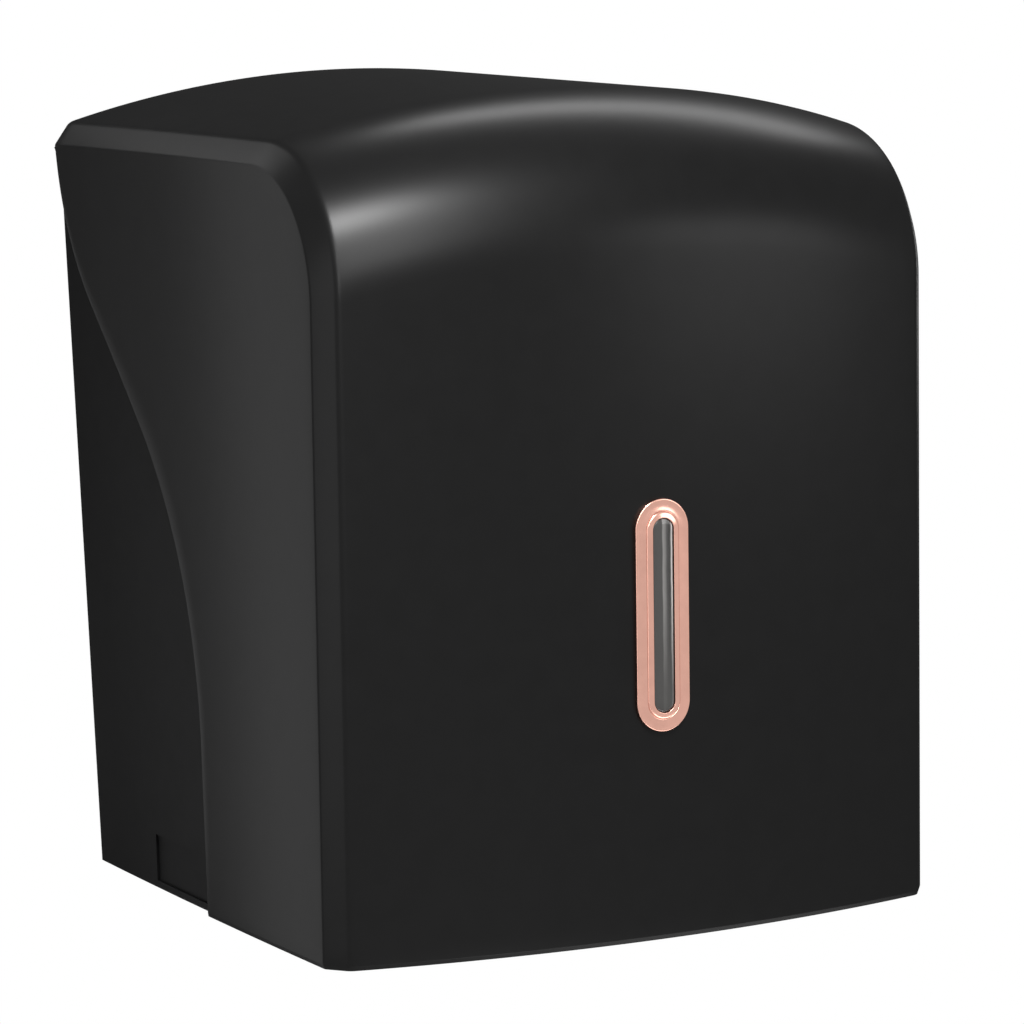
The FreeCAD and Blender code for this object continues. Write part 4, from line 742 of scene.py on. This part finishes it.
BEZEL_ROWS = [
    (26.0, 100.0, 0.02), (26.0, 100.0, 1.2), (25.86, 99.86, 1.6), (25.5, 99.5, 1.88),
    (25.0, 99.0, 2.0), (24.4, 98.4, 1.98), (23.0, 96.9, 1.88), (21.2, 94.9, 1.82),
    (19.2, 92.8, 1.86), (17.4, 90.9, 1.98), (16.4, 89.8, 2.06), (16.05, 89.4, 2.04),
    (15.85, 89.2, 1.9), (15.6, 88.9, 1.9), (15.4, 88.7, 2.1), (15.1, 88.4, 2.32),
    (14.6, 87.9, 2.46), (13.6, 86.9, 2.58), (12.4, 85.7, 2.7), (11.4, 84.7, 2.8),
    (10.9, 84.2, 2.86), (10.55, 83.85, 2.86), (10.3, 83.6, 2.74), (10.2, 83.5, 2.4),
    (10.2, 83.5, -0.4), (14.6, 85.0, -0.4), (15.0, 85.4, -4.4), (*COLLAR, -4.5),
    (*COLLAR, 0.02),
]
bezel_mesh = mesh_of("window_bezel_ring", *window_skin(BEZEL_ROWS, True))
add_piece(bezel_mesh, "window_bezel_ring", "rose_gold", ["window_bezel"], 50.0)

LENS_WIDTH = 9.7
LENS_RUN = 73.3         # how much longer it is than wide
LENS_SEAT = -1.9        # its back, against the front's face
LENS_EDGE = 2.1         # the dome's edge
LENS_DOME = 0.75        # the dome's height
LENS_RINGS = 22
lens_rows = [(LENS_WIDTH, LENS_RUN + LENS_WIDTH, LENS_SEAT)]
for k in range(LENS_RINGS + 1):
    a = math.radians(2.0 + 86.0 * k / LENS_RINGS)
    width = LENS_WIDTH * math.cos(a)
    lens_rows.append((width, LENS_RUN + width, LENS_EDGE + LENS_DOME * math.sin(a)))
lens_points, lens_faces = window_skin(lens_rows, False)
wide = 2 * (RING_STEPS + 1)
lens_faces.append(tuple(range(wide))[::-1])
first = len(lens_points) - wide
last = len(lens_points) - 1
for k in range(RING_STEPS):
    lens_faces.append((first + k, first + k + 1, last - 1 - k, last - k))
lens_mesh = mesh_of("window_lens_dome", lens_points, lens_faces)
add_piece(lens_mesh, "window_lens_dome", "smoked_lens", ["window_lens"], 50.0)


# ---- studio ---------------------------------------------------------------
ROOM_LIGHT = 0.4        # the room as the object's light; as a background it is white, 1


def studio_world():
    world = bpy.data.worlds.new("studio")
    world.use_nodes = True
    t = Tree(world.node_tree)
    shaders = []
    for strength in (ROOM_LIGHT, 1.0):
        node = t.add("ShaderNodeBackground")
        node.inputs["Color"].default_value = WHITE
        node.inputs["Strength"].default_value = strength
        shaders.append(node.outputs["Background"])
    out = t.add("ShaderNodeOutputWorld")
    t.link(t.mix_shaders(t.background_rays(), *shaders), out.inputs["Surface"])
    return world


# name, aim, direction from the aim, distance, width, height, power in watts, gloss only,
# and for one lamp the way that its long side lies
LAMPS = [
    ("key_softbox", (0.0, -0.2, 0.05), (-0.21, -0.63, 0.75), 1.5, 0.36, 0.3, 33.0, False),
    ("rear_strip", (0.0, -0.2, 0.1), (0.95, 0.72, 1.42), 1.6, 1.2, 0.36, 48.0, True,
     (0.63, -0.24, -0.3)),
    ("right_panel", (0.08, -0.28, 0.12), (0.6, -0.79, 0.02), 0.7, 0.4, 0.28, 1.4, False),
    ("rim_glow", (0.15, -0.26, 0.1), (0.865, 0.48, 0.0), 1.2, 0.3, 0.4, 9.0, True),
    ("edge_glow", (-0.15, -0.12, 0.1), (-0.1, 0.97, -0.2), 1.0, 0.16, 0.6, 1.9, True),
    ("line_glow", (-0.14, -0.26, 0.08), (-0.34, -0.88, 0.34), 1.5, 0.12, 0.9, 8.0, True),
    ("left_strip", (-0.15, -0.255, -0.03), (-0.437, 0.897, -0.08), 0.22, 0.06, 0.8, 0.62, False),
    ("corner_light", (-0.15, -0.2, 0.13), (-0.25, 0.87, 0.42), 0.6, 0.15, 0.15, 0.5, False),
    ("left_glow", (-0.14, -0.26, 0.04), (-0.97, -0.24, 0.0), 1.0, 0.3, 0.8, 1.5, False),
    ("key_gloss", (0.0, -0.2, 0.05), (-0.09, -0.84, 0.53), 1.5, 0.35, 1.0, 14.0, True),
    ("low_light", (0.0, -0.28, -0.217), (0.45, -0.58, -0.64), 0.55, 0.7, 0.16, 1.6, True),
]


def softbox(name, aim, towards, distance, width, height, power, gloss_only, long_side=None):
    """an area lamp at a distance from a point, seen from it in a direction"""
    data = bpy.data.lights.new(name, "AREA")
    data.shape = "RECTANGLE"
    data.size = width
    data.size_y = height
    data.energy = power
    lamp = bpy.data.objects.new(name, data)
    scene.collection.objects.link(lamp)
    direction = Vector(towards).normalized()
    lamp.location = Vector(aim) + direction * distance
    lamp.rotation_mode = "QUATERNION"
    lamp.rotation_quaternion = direction.to_track_quat("Z", "Y")
    lamp.visible_camera = False
    lamp.visible_diffuse = not gloss_only
    if long_side:
        across = direction.cross(Vector(long_side)).normalized()
        along = across.cross(direction).normalized()
        turn = Matrix((along, across, direction)).transposed()
        lamp.rotation_quaternion = turn.to_quaternion()


FLOOR_PLACE = (0.0, -0.15, -0.75)
FLOOR_TURNS = 96
FLOOR_RINGS = 14
FLOOR_STEP = 0.1        # between its rings, in metres
FLOOR_FADE = (0.5, 1.4)     # radii at which it starts to fade and is gone


def floor_material():
    """a pale floor that shows white, fades out to its edge and is clear from below"""
    material, t, surface = new_material("pale_floor")
    paint = t.add("ShaderNodeBsdfPrincipled")
    cloud = t.noise(6.0, 3.0)
    shades = t.shades(cloud, (0.84, 0.84, 0.84), (0.88, 0.88, 0.88))
    t.link(shades, paint.inputs["Base Color"])
    paint.inputs["Roughness"].default_value = 0.85
    paint.inputs["Emission Color"].default_value = WHITE
    lift = t.calc("MULTIPLY", t.background_rays(), 0.4)
    t.link(lift, paint.inputs["Emission Strength"])
    radius = t.add("ShaderNodeVectorMath", operation="LENGTH")
    t.link(t.place(), radius.inputs[0])
    fade = t.spread(radius.outputs["Value"], 0.0, 1.0, *FLOOR_FADE)
    from_below = t.add("ShaderNodeNewGeometry").outputs["Backfacing"]
    clear = t.add("ShaderNodeBsdfTransparent")
    seen_through = t.calc("MAXIMUM", fade, from_below)
    mixed = t.mix_shaders(seen_through, paint.outputs["BSDF"], clear.outputs["BSDF"])
    t.link(mixed, surface)
    return material


def floor_disc():
    """a disc of rings round its middle"""
    points = [(0.0, 0.0, 0.0)]
    for ring in range(1, FLOOR_RINGS + 1):
        radius = FLOOR_STEP * ring
        for k in range(FLOOR_TURNS):
            a = 2.0 * math.pi * k / FLOOR_TURNS
            points.append((radius * math.cos(a), radius * math.sin(a), 0.0))
    faces = [(0, 1 + k, 1 + (k + 1) % FLOOR_TURNS) for k in range(FLOOR_TURNS)]
    for ring in range(FLOOR_RINGS - 1):
        a = 1 + ring * FLOOR_TURNS
        b = a + FLOOR_TURNS
        for k in range(FLOOR_TURNS):
            n = (k + 1) % FLOOR_TURNS
            faces.append((a + k, b + k, b + n, a + n))
    return mesh_of("floor", points, faces)


scene.world = studio_world()
for row in LAMPS:
    softbox(*row)
floor_mesh = floor_disc()
floor_mesh.materials.append(floor_material())
floor = bpy.data.objects.new("floor", floor_mesh)
floor.location = FLOOR_PLACE
scene.collection.objects.link(floor)
